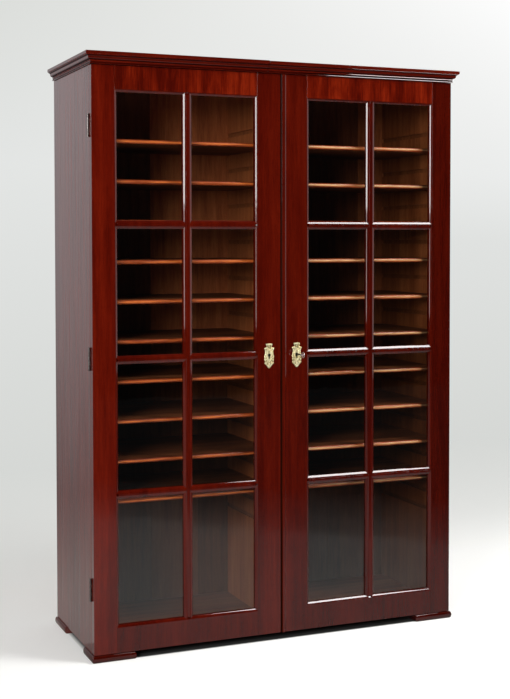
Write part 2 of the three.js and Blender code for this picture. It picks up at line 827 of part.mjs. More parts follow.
// One side of the carcass: its panel, two feet, the shelves of its bay and the carcass leaves
function carcassHalf(side) {
  const { sign, turned } = hands[side];
  const group = new THREE.Group();
  const footEdge = sign * (halfWidth + footOverhang);
  const frontFoot = turned(foot(footFrontLength, footRounding));
  const rearFoot = turned(foot(footRearLength, 0));
  group.add(
    piece(`${side}_side`, turned(sidePanel()), sideMahogany),
    placed(piece(`front_${side}_foot`, frontFoot, polishedMahogany), footEdge, -footOverhang, 0),
    placed(piece(`rear_${side}_foot`, rearFoot, sideMahogany), footEdge, overallDepth - footRearLength, 0),
  );
  const bayMiddle = (sign * (innerHalfWidth + halfPartition)) / 2;
  for (let number = 1; number <= shelvesPerBay; number++) {
    const board = piece(`${side}_shelf_${String(number).padStart(2, "0")}`, shelf(), shelfWood);
    const underside = slotTop(2 * number - 1) - slotHeight + seatGap;
    group.add(placed(board, bayMiddle, carcassFront + shelfSetback, underside));
  }
  hingeHeights.forEach((height, n) => {
    const leaf = piece(`${side}_${hingeLevels[n]}_hinge_carcass_leaf`, turned(carcassLeaf()), darkIron);
    group.add(placed(leaf, sign * (halfWidth + pinOut), pinDepth, doorBottom + height));
  });
  return group;
}

// The pieces of the carcass that both bays share
function carcassMiddle() {
  const topBoard = endBoard([ceilingOfBays, carcassTop], [floorOfBays, ceilingOfBays + housingDepth]);
  const bottomBoard = endBoard([carcassBottom, floorOfBays], [floorOfBays - housingDepth, ceilingOfBays]);
  const group = new THREE.Group();
  group.add(
    piece("centre_partition", partition(), innerWood),
    piece("top_board", topBoard, innerWood),
    piece("bottom_board", bottomBoard, innerWood),
    piece("back_panel", backPanel(), innerWood),
    piece("cornice", cornice(), polishedMahogany),
  );
  return group;
}

// The whole bookcase, with its origin on the floor under the middle of its box
const frontmost = -Math.max(keyReach, corniceOverhang);
const assembly = placed(new THREE.Group(), 0, -(frontmost + overallDepth) / 2, 0);
const rightDoor = door("right");
rightDoor.add(lock());
assembly.add(carcassHalf("left"), carcassHalf("right"), carcassMiddle(), door("left"), rightDoor);

const bookcase = new THREE.Group();
bookcase.add(assembly);

export default bookcase;
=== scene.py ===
import json
from math import asin, atan2, cos, exp, hypot, pi, radians, sin

import bmesh
import bpy
from mathutils import Matrix, Vector

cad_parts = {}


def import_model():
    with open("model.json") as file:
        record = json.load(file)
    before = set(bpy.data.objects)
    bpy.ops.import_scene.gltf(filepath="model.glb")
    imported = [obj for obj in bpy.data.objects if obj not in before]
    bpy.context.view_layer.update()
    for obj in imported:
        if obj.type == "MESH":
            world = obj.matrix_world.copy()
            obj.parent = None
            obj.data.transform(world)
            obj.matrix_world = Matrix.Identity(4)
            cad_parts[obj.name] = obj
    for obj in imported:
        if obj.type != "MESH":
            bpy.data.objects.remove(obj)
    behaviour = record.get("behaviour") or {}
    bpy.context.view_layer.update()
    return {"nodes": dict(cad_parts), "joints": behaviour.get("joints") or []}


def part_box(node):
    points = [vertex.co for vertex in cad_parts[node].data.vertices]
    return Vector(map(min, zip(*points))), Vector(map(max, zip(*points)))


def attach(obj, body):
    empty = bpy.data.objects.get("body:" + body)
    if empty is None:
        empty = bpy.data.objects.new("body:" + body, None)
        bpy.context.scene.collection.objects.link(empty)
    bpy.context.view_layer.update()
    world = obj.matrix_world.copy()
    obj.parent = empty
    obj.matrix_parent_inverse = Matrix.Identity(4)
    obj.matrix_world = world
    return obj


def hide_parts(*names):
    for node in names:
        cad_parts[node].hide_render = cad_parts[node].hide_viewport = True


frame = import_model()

# Metres, in the frame of the CAD model: Z is up, and the doors face -Y.
MM = 0.001
NODES = frame["nodes"]
SIDES = (("left", -1), ("right", 1))
HINGE_LEVELS = ("lower", "middle", "upper")
BLACK, WHITE = (0.0, 0.0, 0.0), (1.0, 1.0, 1.0)

# Places taken from the frame
door_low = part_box("left_door_hinge_stile")[0]
strip_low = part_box("right_door_meeting_stile")[0]
side_low, side_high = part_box("left_side")
partition_low, partition_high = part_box("centre_partition")
back_low, back_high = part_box("back_panel")
cornice_low, cornice_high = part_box("cornice")
FACE_Y = door_low.y
REAR_Y = side_high.y
HALF_WIDTH, HALF_INSIDE = -side_low.x, -side_high.x


def joint_place(name):
    return next(joint["pos_m"] for joint in frame["joints"] if joint["name"] == name)


# Camera, as the photograph was taken
IMAGE_HEIGHT = 699
FOCAL_PIXELS = 1291.4
AXIS_ROW = 289.4
CAMERA_OFFSET = Vector((-1.1272, -4.0559, 1.3503))
YAW, PITCH, ROLL = radians(22.72), radians(2.07), radians(-0.07)
SENSOR = 36
FAR_CLIP = 100


def linked(name, data):
    item = bpy.data.objects.new(name, data)
    bpy.context.scene.collection.objects.link(item)
    return item


def add_camera():
    data = bpy.data.cameras.new("camera")
    data.sensor_width = SENSOR
    data.lens = FOCAL_PIXELS / IMAGE_HEIGHT * SENSOR
    data.shift_y = (AXIS_ROW - IMAGE_HEIGHT / 2) / IMAGE_HEIGHT
    data.clip_end = FAR_CLIP
    camera = linked("camera", data)
    camera.location = door_low + CAMERA_OFFSET
    turn = (Matrix.Rotation(-YAW, 4, "Z") @ Matrix.Rotation(pi / 2 - PITCH, 4, "X")
            @ Matrix.Rotation(ROLL, 4, "Z"))
    camera.rotation_euler = turn.to_euler()
    bpy.context.scene.camera = camera


# Node graphs
class Graph:
    """The nodes of a material or of the world."""

    def __init__(self, owner, coordinates="Object"):
        owner.use_nodes = True
        self.owner, self.tree = owner, owner.node_tree
        self.tree.nodes.clear()
        self.place = self.add("TexCoord").outputs[coordinates]
        self.x, self.y, self.z = self.add("SeparateXYZ", {0: self.place}).outputs

    def add(self, kind, inputs=None, **settings):
        node = self.tree.nodes.new("ShaderNode" + kind)
        for key, value in settings.items():
            setattr(node, key, value)
        for key, value in (inputs or {}).items():
            if isinstance(value, bpy.types.NodeSocket):
                self.tree.links.new(value, node.inputs[key])
            else:
                node.inputs[key].default_value = value
        return node

    def math(self, operation, first, second=0.0, third=0.0, clamp=False):
        inputs = {0: first, 1: second, 2: third}
        return self.add("Math", inputs, operation=operation, use_clamp=clamp).outputs[0]

    def times(self, first, second, clamp=False):
        return self.math("MULTIPLY", first, second, clamp=clamp)

    def noise(self, scale, detail=2.0, roughness=0.5, distortion=0.0, vector=None):
        inputs = {"Vector": vector or self.place, "Scale": scale, "Detail": detail, "Roughness": roughness,
                  "Distortion": distortion}
        return self.add("TexNoise", inputs).outputs[0]

    def stretched(self, scale, location=(0.0, 0.0, 0.0)):
        inputs = {"Vector": self.place, "Scale": scale, "Location": location}
        return self.add("Mapping", inputs).outputs[0]

    def ramp(self, factor, stops):
        node = self.add("ValToRGB", {"Fac": factor})
        elements = node.color_ramp.elements
        while len(elements) < len(stops):
            elements.new(0.5)
        for element, (position, colour) in zip(elements, stops):
            element.position = position
            element.color = (*colour, 1.0)
        return node.outputs[0]

    def span(self, value, low, high, to_low=0.0, to_high=1.0):
        """Maps low to high onto two other numbers, and stops at them."""
        inputs = {0: value, 1: low, 2: high, 3: to_low, 4: to_high}
        return self.add("MapRange", inputs).outputs[0]

    def mix(self, factor, first, second):
        colours = {number: colour if isinstance(colour, bpy.types.NodeSocket) else (*colour, 1.0)
                   for number, colour in ((6, first), (7, second))}
        return self.add("Mix", {"Factor": factor, **colours}, data_type="RGBA").outputs[2]

    def mix_shader(self, factor, first, second):
        return self.add("MixShader", {0: factor, 1: first, 2: second}).outputs[0]

    def bump(self, height, distance, strength=1.0):
        inputs = {"Height": height, "Distance": distance, "Strength": strength}
        return self.add("Bump", inputs).outputs[0]

    def glow(self, colour, strength=1.0):
        return self.add("Emission", {"Color": colour, "Strength": strength}).outputs[0]

    def finish(self, shader, kind="OutputMaterial"):
        self.add(kind, {"Surface": shader})
        return self.owner

    def surface(self, colour, roughness, height, bump, inputs):
        """Ends the material with a Principled shader."""
        inputs |= {"Base Color": colour, "Roughness": roughness, "Normal": self.bump(height, *bump)}
        return self.finish(self.add("BsdfPrincipled", inputs).outputs[0])


def new_graph(name):
    return Graph(bpy.data.materials.new(name))


# Wood: palettes go from dark to light
MAHOGANY = ((0.046, 0.002, 0.0005), (0.07, 0.0033, 0.0008), (0.098, 0.0055, 0.0013))
FLAMED = ((0.045, 0.002, 0.0005), (0.09, 0.0046, 0.001), (0.165, 0.0115, 0.0024))
SIDE = ((0.06, 0.005, 0.0025), (0.105, 0.01, 0.005), (0.15, 0.017, 0.009))
INNER = ((0.29, 0.064, 0.017), (0.44, 0.111, 0.032), (0.58, 0.166, 0.052))
# The shelves' faces are painted dark: painted shade on their tops and undersides inside the bays
SHELF_FACES = ((0.06, 0.013, 0.004), (0.15, 0.038, 0.012), (0.24, 0.072, 0.025))
SHELF_EDGE = ((0.12, 0.011, 0.0018), (0.4, 0.048, 0.007), (0.66, 0.12, 0.02))
# Painted shade inside the keyholes
HOLE_SHADE_PALETTE = ((0.004, 0.003, 0.0025), (0.008, 0.006, 0.005), (0.012, 0.009, 0.0075))
# Painted shade: the colour mixed into grooves, beside the doors' gap and at the shaded ends of shelves
PAINTED_SHADE_COLOUR = (0.01, 0.004, 0.002)
PALETTE_PLACES = (0.34, 0.5, 0.68)

GRAIN_STRETCH, FIGURE_STRETCH = 0.05, 0.25
# The noises of the grain: scale, detail, roughness and distortion
BROAD, STREAKS, LINES = (9, 2, 0.5, 0.6), (55, 5, 0.62, 0.3), (420, 3, 0.6)
FLAMES, PORES = (16, 3, 0.55, 1.4), (1500, 2, 0.5)
PORE_SPAN, PORE_DEPTH, PORE_TONE = (0.56, 0.7), 0.45, 0.35
TONE_BASE, TONE_SHARES = -0.3, (0.5, 0.65, 0.45)
SEED_SHIFT = (1.7, 0.9, 2.3)

# Bumps: distance and strength
POLISHED_GRAIN, POLISH_RIPPLE = (0.00008, 0.5), (0.0012, 0.35)
PLANED_GRAIN, SHELF_GRAIN = (0.00015, 0.6), (0.0001, 0.5)

# The strip over the doors' gap: how far its polish is worn through, and the painted shade beside the gap
RUBBED_GLOSS = 0.02
RUBBED_BLEND = 0.0005
GAP_SHADE = (0.0032, 0.0014, 0.9, 0.0)


def toned(palette, share):
    return tuple(tuple(part * share for part in colour) for colour in palette)


def stretch(grain, share):
    return tuple(share if axis == grain else 1 for axis in "xyz")


def wood_colour(graph, grain, palette, seed, figure):
    """The colour of a wood, and the height of its grain."""
    shift = tuple(part * seed for part in SEED_SHIFT)
    along = graph.stretched(stretch(grain, GRAIN_STRETCH), shift)
    across = graph.stretched(stretch(grain, FIGURE_STRETCH), shift)
    lines = graph.noise(*LINES, vector=along)
    flames = graph.math("SUBTRACT", graph.noise(*FLAMES, vector=across), 0.5)
    pores = graph.span(graph.noise(*PORES, vector=along), *PORE_SPAN)
    layers = (graph.noise(*BROAD, vector=along), graph.noise(*STREAKS, vector=along), lines, flames)
    tone = TONE_BASE
    for layer, share in zip(layers, (*TONE_SHARES, figure)):
        tone = graph.math("MULTIPLY_ADD", layer, share, tone)
    colour = graph.ramp(tone, list(zip(PALETTE_PLACES, palette)))
    colour = graph.mix(graph.times(pores, PORE_DEPTH), colour, tuple(PORE_TONE * part for part in palette[0]))
    return colour, graph.math("MULTIPLY_ADD", pores, -1.0, lines)


def coat(weight, roughness):
    return {"Coat Weight": weight, "Coat Roughness": roughness, "Coat IOR": 1.5}


def french_polish(graph, colour, height, weight):
    """Ends the material with a clear, slightly rippled coat over the grain."""
    ripple = graph.bump(graph.noise(11, 2, 0.5), *POLISH_RIPPLE)
    polish = {"Specular IOR Level": 0.0, "Coat Normal": ripple, **coat(weight, 0.05)}
    return graph.surface(colour, 0.5, height, POLISHED_GRAIN, polish)


def polished_wood(name, grain, palette, seed=0.0, figure=0.25, rubbed_and_highlight=None):
    """French polished. The polish is worn through up to a place along X, if one is given, and just short of
    that place the colour is darkened as painted shade at the doors' gap.
    """
    graph = new_graph(name)
    colour, height = wood_colour(graph, grain, palette, seed, figure)
    gloss = 1.0
    if rubbed_and_highlight is not None:
        gloss = graph.span(graph.x, rubbed_and_highlight, rubbed_and_highlight + RUBBED_BLEND, RUBBED_GLOSS, 1.0)
        # Painted shade along the edge next to the doors' gap
        start, end, most, least = GAP_SHADE
        painted_shade = graph.span(graph.x, rubbed_and_highlight - start, rubbed_and_highlight - end, most, least)
        colour = graph.mix(painted_shade, colour, PAINTED_SHADE_COLOUR)
    return french_polish(graph, colour, height, gloss)


# Heights over which the painted shade low down inside the carcass fades out
LOW_SHADE_HEIGHTS = (0.93, 1.27)


def shaded_low_down(graph, colour, low_share):
    """The same colour, darker low down: painted shade where less light reaches inside."""
    patches = graph.math("MULTIPLY_ADD", graph.noise(3, 3, 0.6), 0.3, graph.z)
    return graph.mix(graph.span(patches, *LOW_SHADE_HEIGHTS, low_share, 1.0), BLACK, colour)


def wax(graph, colour, height, roughness=0.5):
    """Ends the material as planed and lightly waxed wood."""
    return graph.surface(colour, roughness, height, PLANED_GRAIN, {"Specular IOR Level": 0.35})


def satin_wood(name, grain, palette, seed=0.0, figure=0.15, roughness=0.5, low_share=1.0):
    """Waxed wood. A board of the back is darker low down on its inner face, as painted shade."""
    graph = new_graph(name)
    colour, height = wood_colour(graph, grain, palette, seed, figure)
    if low_share < 1.0:
        inner = graph.math("LESS_THAN", graph.y, (back_low.y + back_high.y) / 2)
        colour = graph.mix(inner, colour, shaded_low_down(graph, colour, low_share))
    return wax(graph, colour, height, roughness)


# How far inside the board a groove starts to darken with painted shade, and by how much
GROOVE_SHOWS = 0.0004
GROOVE_SHARE = 0.3
# How much of its colour the partition and the sides' inner faces keep low down, under the painted shade there
PARTITION_LOW_SHARE, SIDE_LOW_SHARE = 0.7, 0.45


def partition_wood(name):
    """Waxed on its faces, with painted shade low down and in its grooves."""
    graph = new_graph(name)
    colour, height = wood_colour(graph, "z", INNER, 8, 0.15)
    colour = shaded_low_down(graph, colour, PARTITION_LOW_SHARE)
    groove = graph.math("LESS_THAN", graph.math("ABSOLUTE", graph.x), partition_high.x - GROOVE_SHOWS)
    behind = graph.math("GREATER_THAN", graph.y, partition_low.y + GROOVE_SHOWS)
    painted_shade = graph.times(graph.times(groove, behind), GROOVE_SHARE)
    return wax(graph, graph.mix(painted_shade, colour, PAINTED_SHADE_COLOUR), height)


# The side's polish: its share low down and high up, and streaks in it
SIDE_GLOSS = (0.2, 1.1, 0.72, 1.0)
STREAK_GLOSS = (0.3, 0.7, 0.78, 1.16)


def side_wood(name, sign):
    """The carcass side: polished outside, planed inside, where it is toned darker as painted shade, and
    darker still low down and in its grooves.
    """
    graph = new_graph(name)
    outside, height = wood_colour(graph, "z", SIDE, 3.0 + sign, 0.2)
    inside, _ = wood_colour(graph, "z", toned(INNER, 0.6), 5.0 + sign, 0.15)
    inside = shaded_low_down(graph, inside, SIDE_LOW_SHARE)
    outwards = graph.times(graph.x, sign)
    groove = graph.math("GREATER_THAN", outwards, HALF_INSIDE + GROOVE_SHOWS)
    # Painted shade in the grooves of the inner face
    inside = graph.mix(graph.times(groove, GROOVE_SHARE), inside, PAINTED_SHADE_COLOUR)
    outer = graph.math("GREATER_THAN", outwards, HALF_WIDTH - 0.5 * MM)
    streaks = graph.noise(70, 4, 0.65, vector=graph.stretched((1, 1, 0.03), (3.1, 0, 0)))
    gloss = graph.times(graph.span(graph.z, *SIDE_GLOSS), graph.span(streaks, *STREAK_GLOSS))
    polish = {"Specular IOR Level": 0.1, **coat(graph.times(outer, gloss, clamp=True), 0.08)}
    return graph.surface(graph.mix(outer, inside, outside), 0.55, height, POLISHED_GRAIN, polish)


# Glass and metal
GLASS_TINT = (0.93, 0.955, 0.94, 1)
GLASS_IOR = 1.5
GLASS_SHEEN = 1.8
WAVE_BUMP = (0.002, 0.35)
METAL_BUMP = (0.0001, 0.4)
WORN_ROUGHER = 0.12


def glass_material():
    """Thin old glass: clear, faintly green, with a slightly wavy sheen on its outer faces."""
    graph = new_graph("pane_glass")
    waves = graph.noise(5, 2, 0.5, 0.4, vector=graph.stretched((1, 1, 0.5)))
    normal = graph.bump(waves, *WAVE_BUMP)
    clear = graph.add("BsdfTransparent", {"Color": GLASS_TINT}).outputs[0]
    glossy = {"Color": (*WHITE, 1), "Roughness": 0.01, "Normal": normal}
    sheen = graph.add("BsdfGlossy", glossy).outputs[0]
    fresnel = graph.add("Fresnel", {"IOR": GLASS_IOR, "Normal": normal}).outputs[0]
    backfacing = graph.add("NewGeometry").outputs["Backfacing"]
    facing = graph.math("SUBTRACT", 1.0, backfacing)
    strength = graph.times(graph.times(fresnel, GLASS_SHEEN), facing, clamp=True)
    return graph.finish(graph.mix_shader(strength, clear, sheen))


def metal(name, dark, light, roughness, wear_scale=60, recess=None):
    """Worn metal. A recess gives the depths along Y between which it darkens, and its colour there."""
    graph = new_graph(name)
    patches = graph.noise(wear_scale, 4, 0.6, 0.4)
    colour = graph.ramp(patches, [(0.3, dark), (0.65, light)])
    if recess:
        shallow, deep, patina = recess
        colour = graph.mix(graph.span(graph.y, shallow, deep), colour, patina)
    roughness = graph.span(patches, 0.3, 0.7, roughness + WORN_ROUGHER, roughness)
    return graph.surface(colour, roughness, graph.noise(900, 3, 0.6), METAL_BUMP, {"Metallic": 1.0})


# Mesh helpers
def quarter_turns(steps):
    return [step / steps * pi / 2 for step in range(steps + 1)]


def full_turns(steps):
    return [2 * pi * step / steps for step in range(steps)]


SAME_POINT = 1e-6


def mesh_object(name, points, faces, material, smooth=False):
    mesh = bpy.data.meshes.new(name)
    mesh.from_pydata([tuple(point) for point in points], [], faces)
    work = bmesh.new()
    work.from_mesh(mesh)
    bmesh.ops.remove_doubles(work, verts=work.verts, dist=SAME_POINT)
    bmesh.ops.recalc_face_normals(work, faces=work.faces)
    for face in work.faces:
        face.smooth = smooth
    work.to_mesh(mesh)
    work.free()
    piece = linked(name, mesh)
    piece.data.materials.append(material)
    return piece


def pairs(count, closed=False):
    return [(n, (n + 1) % count) for n in range(count if closed else count - 1)]


def joined(bands, count):
    """The faces between rings of a number of points, for each pair of rings."""
    return [(here * count + n, here * count + following, there * count + following, there * count + n)
            for here, there in bands for n, following in pairs(count, closed=True)]


def lofted(name, outline, stations, material, smooth=False):
    """A closed solid through one copy of an outline at each station of a route."""
    count = len(outline)
    points = [place(a, b) for place in stations for a, b in outline]
    last = (len(stations) - 1) * count
    ends = [tuple(range(count)), tuple(last + n for n in reversed(range(count)))]
    return mesh_object(name, points, joined(pairs(len(stations)), count) + ends, material, smooth)


def box_piece(name, across, deep, up, material):
    """A box from its spans along X, Y and Z."""
    outline = [(across[0], up[0]), (across[1], up[0]), (across[1], up[1]), (across[0], up[1])]
    return lofted(name, outline, [lambda x, z, y=y: (x, y, z) for y in deep], material)


def bevelled(piece, width, angle=30, weld=False):
    """Eases the edges that are sharper than an angle."""
    if weld:
        piece.modifiers.new("weld", "WELD").merge_threshold = 1e-5
    modifier = piece.modifiers.new("eased", "BEVEL")
    modifier.width = width
    modifier.segments = 2
    modifier.limit_method = "ANGLE"
    modifier.angle_limit = radians(angle)
    modifier.harden_normals = True
    return piece


def creased(piece, angle):
    """Keeps the edges that are sharper than an angle crisp on a smooth piece."""
    piece.modifiers.new("creases", "EDGE_SPLIT").split_angle = radians(angle)
    return piece


def finished(piece, body, slot, *replaced):
    if replaced:
        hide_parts(*replaced)
    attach(piece, body)
    return piece


def dressed(node, material, ease=0.0006):
    """Gives a carried-over node its material and eased edges."""
    piece = NODES[node]
    piece.data.materials.clear()
    piece.data.materials.append(material)
    if ease:
        bevelled(piece, ease, weld=True)
    return piece


# Carcass and shelves
def dress_carcass():
    for side, sign in SIDES:
        dressed(f"{side}_side", side_wood(f"{side}_side_wood", sign), 0.0008)
    dressed("centre_partition", partition_wood("partition_wood"), 0.0005)
    dressed("top_board", satin_wood("top_board_wood", "x", INNER, 9))
    dressed("bottom_board", satin_wood("bottom_board_wood", "x", toned(INNER, 0.5), 10))


SHELVES_PER_BAY = 10
SHELF_ROUNDING = 0.0066
ROUNDING_STEPS = 6
SHELF_BAND = 0.006
BAND_BLEND = 0.001
# The painted highlight along a shelf's edge: its height above the middle, how far it reaches, and its patches
HIGHLIGHT_RISE = 0.0003
HIGHLIGHT_REACH = (0.004, 0.0014)
HIGHLIGHT_PATCHES = (0.36, 0.58, 0.15, 0.95)
# The highlight's colour in each bay: painted brighter in the right bay, where the key light falls
EDGE_HIGHLIGHTS = {"left": (0.95, 0.21, 0.04), "right": (1.0, 0.5, 0.22)}
# How much of a shelf's right end is in the shade of its bay, and the polish in the light and there
SHADED_ENDS = {"left": 0.08, "right": 0.084}
SHADE_BLEND = 0.01
SHADE_SHARE = 0.8
SHELF_COATS = (0.7, 0.1)


def shelf_edge(graph, seed, middle, highlight_colour, shaded):
    """The polished front edge, with a painted highlight along its middle and painted shade at its shaded end.
    """
    edge, _ = wood_colour(graph, "x", SHELF_EDGE, seed, 0.3)
    off = graph.math("ABSOLUTE", graph.math("SUBTRACT", graph.z, middle + HIGHLIGHT_RISE))
    rubbed_and_highlight = graph.noise(130, 3, 0.6, vector=graph.stretched((0.06, 1, 1), (seed, 0, 0)))
    painted_light = graph.times(graph.span(off, *HIGHLIGHT_REACH), graph.span(rubbed_and_highlight, *HIGHLIGHT_PATCHES))
    edge = graph.mix(painted_light, edge, highlight_colour)
    return graph.mix(graph.times(shaded, SHADE_SHARE), edge, PAINTED_SHADE_COLOUR)


def shelf_wood(name, seed, front, middle, highlight_colour, shade_from):
    """Planed on its faces, in a dark palette that is painted shade, polished along its rounded front edge."""
    graph = new_graph(name)
    faces, height = wood_colour(graph, "x", SHELF_FACES, seed, 0.2)
    banded = graph.span(graph.y, front + SHELF_BAND, front + SHELF_BAND - BAND_BLEND)
    shaded = graph.span(graph.x, shade_from, shade_from + SHADE_BLEND)
    edge = shelf_edge(graph, seed, middle, highlight_colour, shaded)
    weight = graph.times(banded, graph.span(shaded, 0.0, 1.0, *SHELF_COATS))
    polish = {"Specular IOR Level": 0.2, **coat(weight, 0.28)}
    return graph.surface(graph.mix(banded, faces, edge), 0.5, height, SHELF_GRAIN, polish)


def shelf_outline(low, high):
    """The board's section along Y and Z, with its rounded front edge."""
    r = SHELF_ROUNDING
    lower = [(low.y + r * (1 - sin(turn)), low.z + r * (1 - cos(turn)))
             for turn in quarter_turns(ROUNDING_STEPS)]
    upper = [(y, low.z + high.z - z) for y, z in reversed(lower)]
    return [*lower, *upper, (high.y, high.z), (high.y, low.z)]


def shelves():
    for n, (side, _) in enumerate(SIDES):
        for number in range(1, SHELVES_PER_BAY + 1):
            node = f"{side}_shelf_{number:02d}"
            low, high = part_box(node)
            stations = [lambda y, z, x=x: (x, y, z) for x in (low.x, high.x)]
            wood = shelf_wood(f"{node}_wood", 20 + 10 * n + number, low.y, (low.z + high.z) / 2,
                              EDGE_HIGHLIGHTS[side], high.x - SHADED_ENDS[side])
            board = lofted(f"{node}_board", shelf_outline(low, high), stations, wood, smooth=True)
            finished(creased(board, 35), "carcass", "shelf_wood", node)


BOARD_JOINTS = (-0.494, -0.315, -0.1323, 0.046, 0.221, 0.409, 0.541)
BOARD_GAP = 0.00004
# Painted light and shade: the tone of each board, darker where the bay shades it and lighter where light
# falls in, and the share of it that is left low down under painted shade
BOARD_LIGHT_AND_SHADE = ((0.6, 0.28), (0.55, 0.45), (1.3, 0.24), (1.2, 0.18), (0.8, 0.28), (0.42, 0.6), (0.6, 0.4),
               (1.0, 0.2))


def back_boards():
    joints = (back_low.x, *BOARD_JOINTS, back_high.x)
    deep, up = (back_low.y, back_high.y), (back_low.z, back_high.z)
    for n, (x0, x1, (tone, low_share)) in enumerate(zip(joints, joints[1:], BOARD_LIGHT_AND_SHADE)):
        name = f"back_board_{n + 1}"
        across = (x0 + (BOARD_GAP / 2 if n else 0), x1 - (BOARD_GAP / 2 if n < len(BOARD_JOINTS) else 0))
        wood = satin_wood(f"{name}_wood", "z", toned(INNER, tone), 40 + 3 * n, 0.3, 0.55, low_share)
        board = bevelled(box_piece(name, across, deep, up, wood), 0.0008)
        finished(board, "carcass", "inner_wood", *(["back_panel"] if n == 0 else []))


# Cornice
CORNICE_HEIGHT = cornice_high.z - cornice_low.z
OVERHANG = FACE_Y - cornice_low.y
FRONT_DEPTH, SIDE_DEPTH = 0.062, 0.045
SEAM_X, SEAM_GAP = -0.052, 0.0016
SEAM_DROP = 0.97
TOP_EASE, CORONA_EASE = 0.001, 0.0006


def arc(start, end, bulge, steps=10):
    """Points of a quarter ellipse between two corners, starting flat if bulge is 1, steep if it is 0."""
    points = []
    for turn in quarter_turns(steps):
        out, up = (sin(turn), 1 - cos(turn)) if bulge else (1 - cos(turn), sin(turn))
        points.append((start[0] + (end[0] - start[0]) * out, start[1] + (end[1] - start[1]) * up))
    return points


def cornice_outline():
    """Distance out from the door face, and height above the foot of the cornice.
    From the foot up: a bead, a band, a fillet, an ogee and the corona."""
    corona = 0.0295
    return [
        (-SIDE_DEPTH, 0), (0.0056, 0), (0.0062, 0.0006), (0.0053, 0.0031),
        (0.0042, 0.0035), (0.0042, 0.0082), (0.0052, 0.0087), (0.0044, 0.0122),
        (0.0062, 0.0127), (0.0062, 0.0136),
        *arc((0.0068, 0.0136), (0.0134, 0.0206), 1), *arc((0.0134, 0.0206), (0.0208, 0.0272), 0),
        (0.0202, corona), (OVERHANG - CORONA_EASE, corona), (OVERHANG, corona + CORONA_EASE),
        (OVERHANG, CORNICE_HEIGHT - TOP_EASE), (OVERHANG - TOP_EASE, CORNICE_HEIGHT),
        (-SIDE_DEPTH, CORNICE_HEIGHT),
    ]


# Height above the foot of the cornice in mm, with the share of its colour and of its gloss: the colour shares
# are painted shade in the quirks and painted highlights on the fillets
CORNICE_LIGHT_AND_SHADE = ((0.0, 0.8, 0.8), (3.0, 0.8, 0.8), (3.6, 0.3, 0.15), (8.2, 0.9, 0.6), (8.8, 1.7, 1.0),
                (12.0, 1.6, 1.0), (12.6, 0.3, 0.15), (15.2, 0.4, 0.2), (17.0, 1.1, 1.0), (23.0, 1.2, 1.0),
                (24.8, 0.3, 0.15), (26.6, 0.3, 0.15), (27.4, 1.7, 0.7), (31.5, 1.1, 1.0), (38.0, 1.0, 1.0),
                (40.0, 1.6, 1.2))
# A ramp holds numbers up to 1, so the shares go through it halved
RAMP_SCALE = 2.0
# A band of painted shade under the cornice on its right half: its foot, its top, and its spread along X
SHADE_BAND_FOOT, SHADE_BAND_TOP = (0.003, 0.0036), (0.0087, 0.008)
SHADE_BAND_ACROSS = (0.0, 0.15, 0.0, 0.85)


def cornice_wood():
    """Polished, with painted shade in its quirks, painted highlights on its fillets, and a band of painted
    shade on its right half.
    """
    graph = new_graph("cornice_wood")
    colour, height = wood_colour(graph, "x", MAHOGANY, 60, 0.3)
    stops = [(up * MM / CORNICE_HEIGHT, (tone / RAMP_SCALE, gloss / RAMP_SCALE, 0.0))
             for up, tone, gloss in CORNICE_LIGHT_AND_SHADE]
    painted_light = graph.ramp(graph.span(graph.z, cornice_low.z, cornice_high.z), stops)
    painted_shares = graph.add("SeparateColor", {0: painted_light})
    tone = graph.times(painted_shares.outputs[0], RAMP_SCALE)
    gloss = graph.times(painted_shares.outputs[1], RAMP_SCALE, clamp=True)
    up = graph.math("SUBTRACT", graph.z, cornice_low.z)
    band = graph.times(graph.span(up, *SHADE_BAND_FOOT), graph.span(up, *SHADE_BAND_TOP))
    unshaded = graph.math("SUBTRACT", 1.0, graph.times(band, graph.span(graph.x, *SHADE_BAND_ACROSS)))
    scaled = {0: colour, "Scale": graph.times(tone, unshaded)}
    colour = graph.add("VectorMath", scaled, operation="SCALE").outputs[0]
    return french_polish(graph, colour, height, graph.times(gloss, unshaded))


def cornice_halves(wood):
    """The two halves, which meet at a seam in the front. The right one has sunk a little there."""
    base = cornice_low.z

    def inwards(out):
        return FACE_Y + FRONT_DEPTH if out < 0 else FACE_Y - out

    for (side, sign), drop in zip(SIDES, (1, SEAM_DROP)):
        def corner(out, up, back, sign=sign):
            return sign * (HALF_WIDTH + out), REAR_Y if back else inwards(out), base + up

        seam = SEAM_X + sign * SEAM_GAP / 2
        stations = [lambda out, up, corner=corner: corner(out, up, True),
                    lambda out, up, corner=corner: corner(out, up, False),
                    lambda out, up, seam=seam, drop=drop: (seam, inwards(out), base + up * drop)]
        half = bevelled(lofted(f"cornice_{side}", cornice_outline(), stations, wood), 0.0004, 25)
        finished(half, "carcass", "polished_mahogany", *(["cornice"] if side == "left" else []))


# Feet
FOOT_STEPS = 12
FOOT_ROUNDING = 0.0052
FOOT_CORNER = 0.003
CORNER_SHARE = 0.3


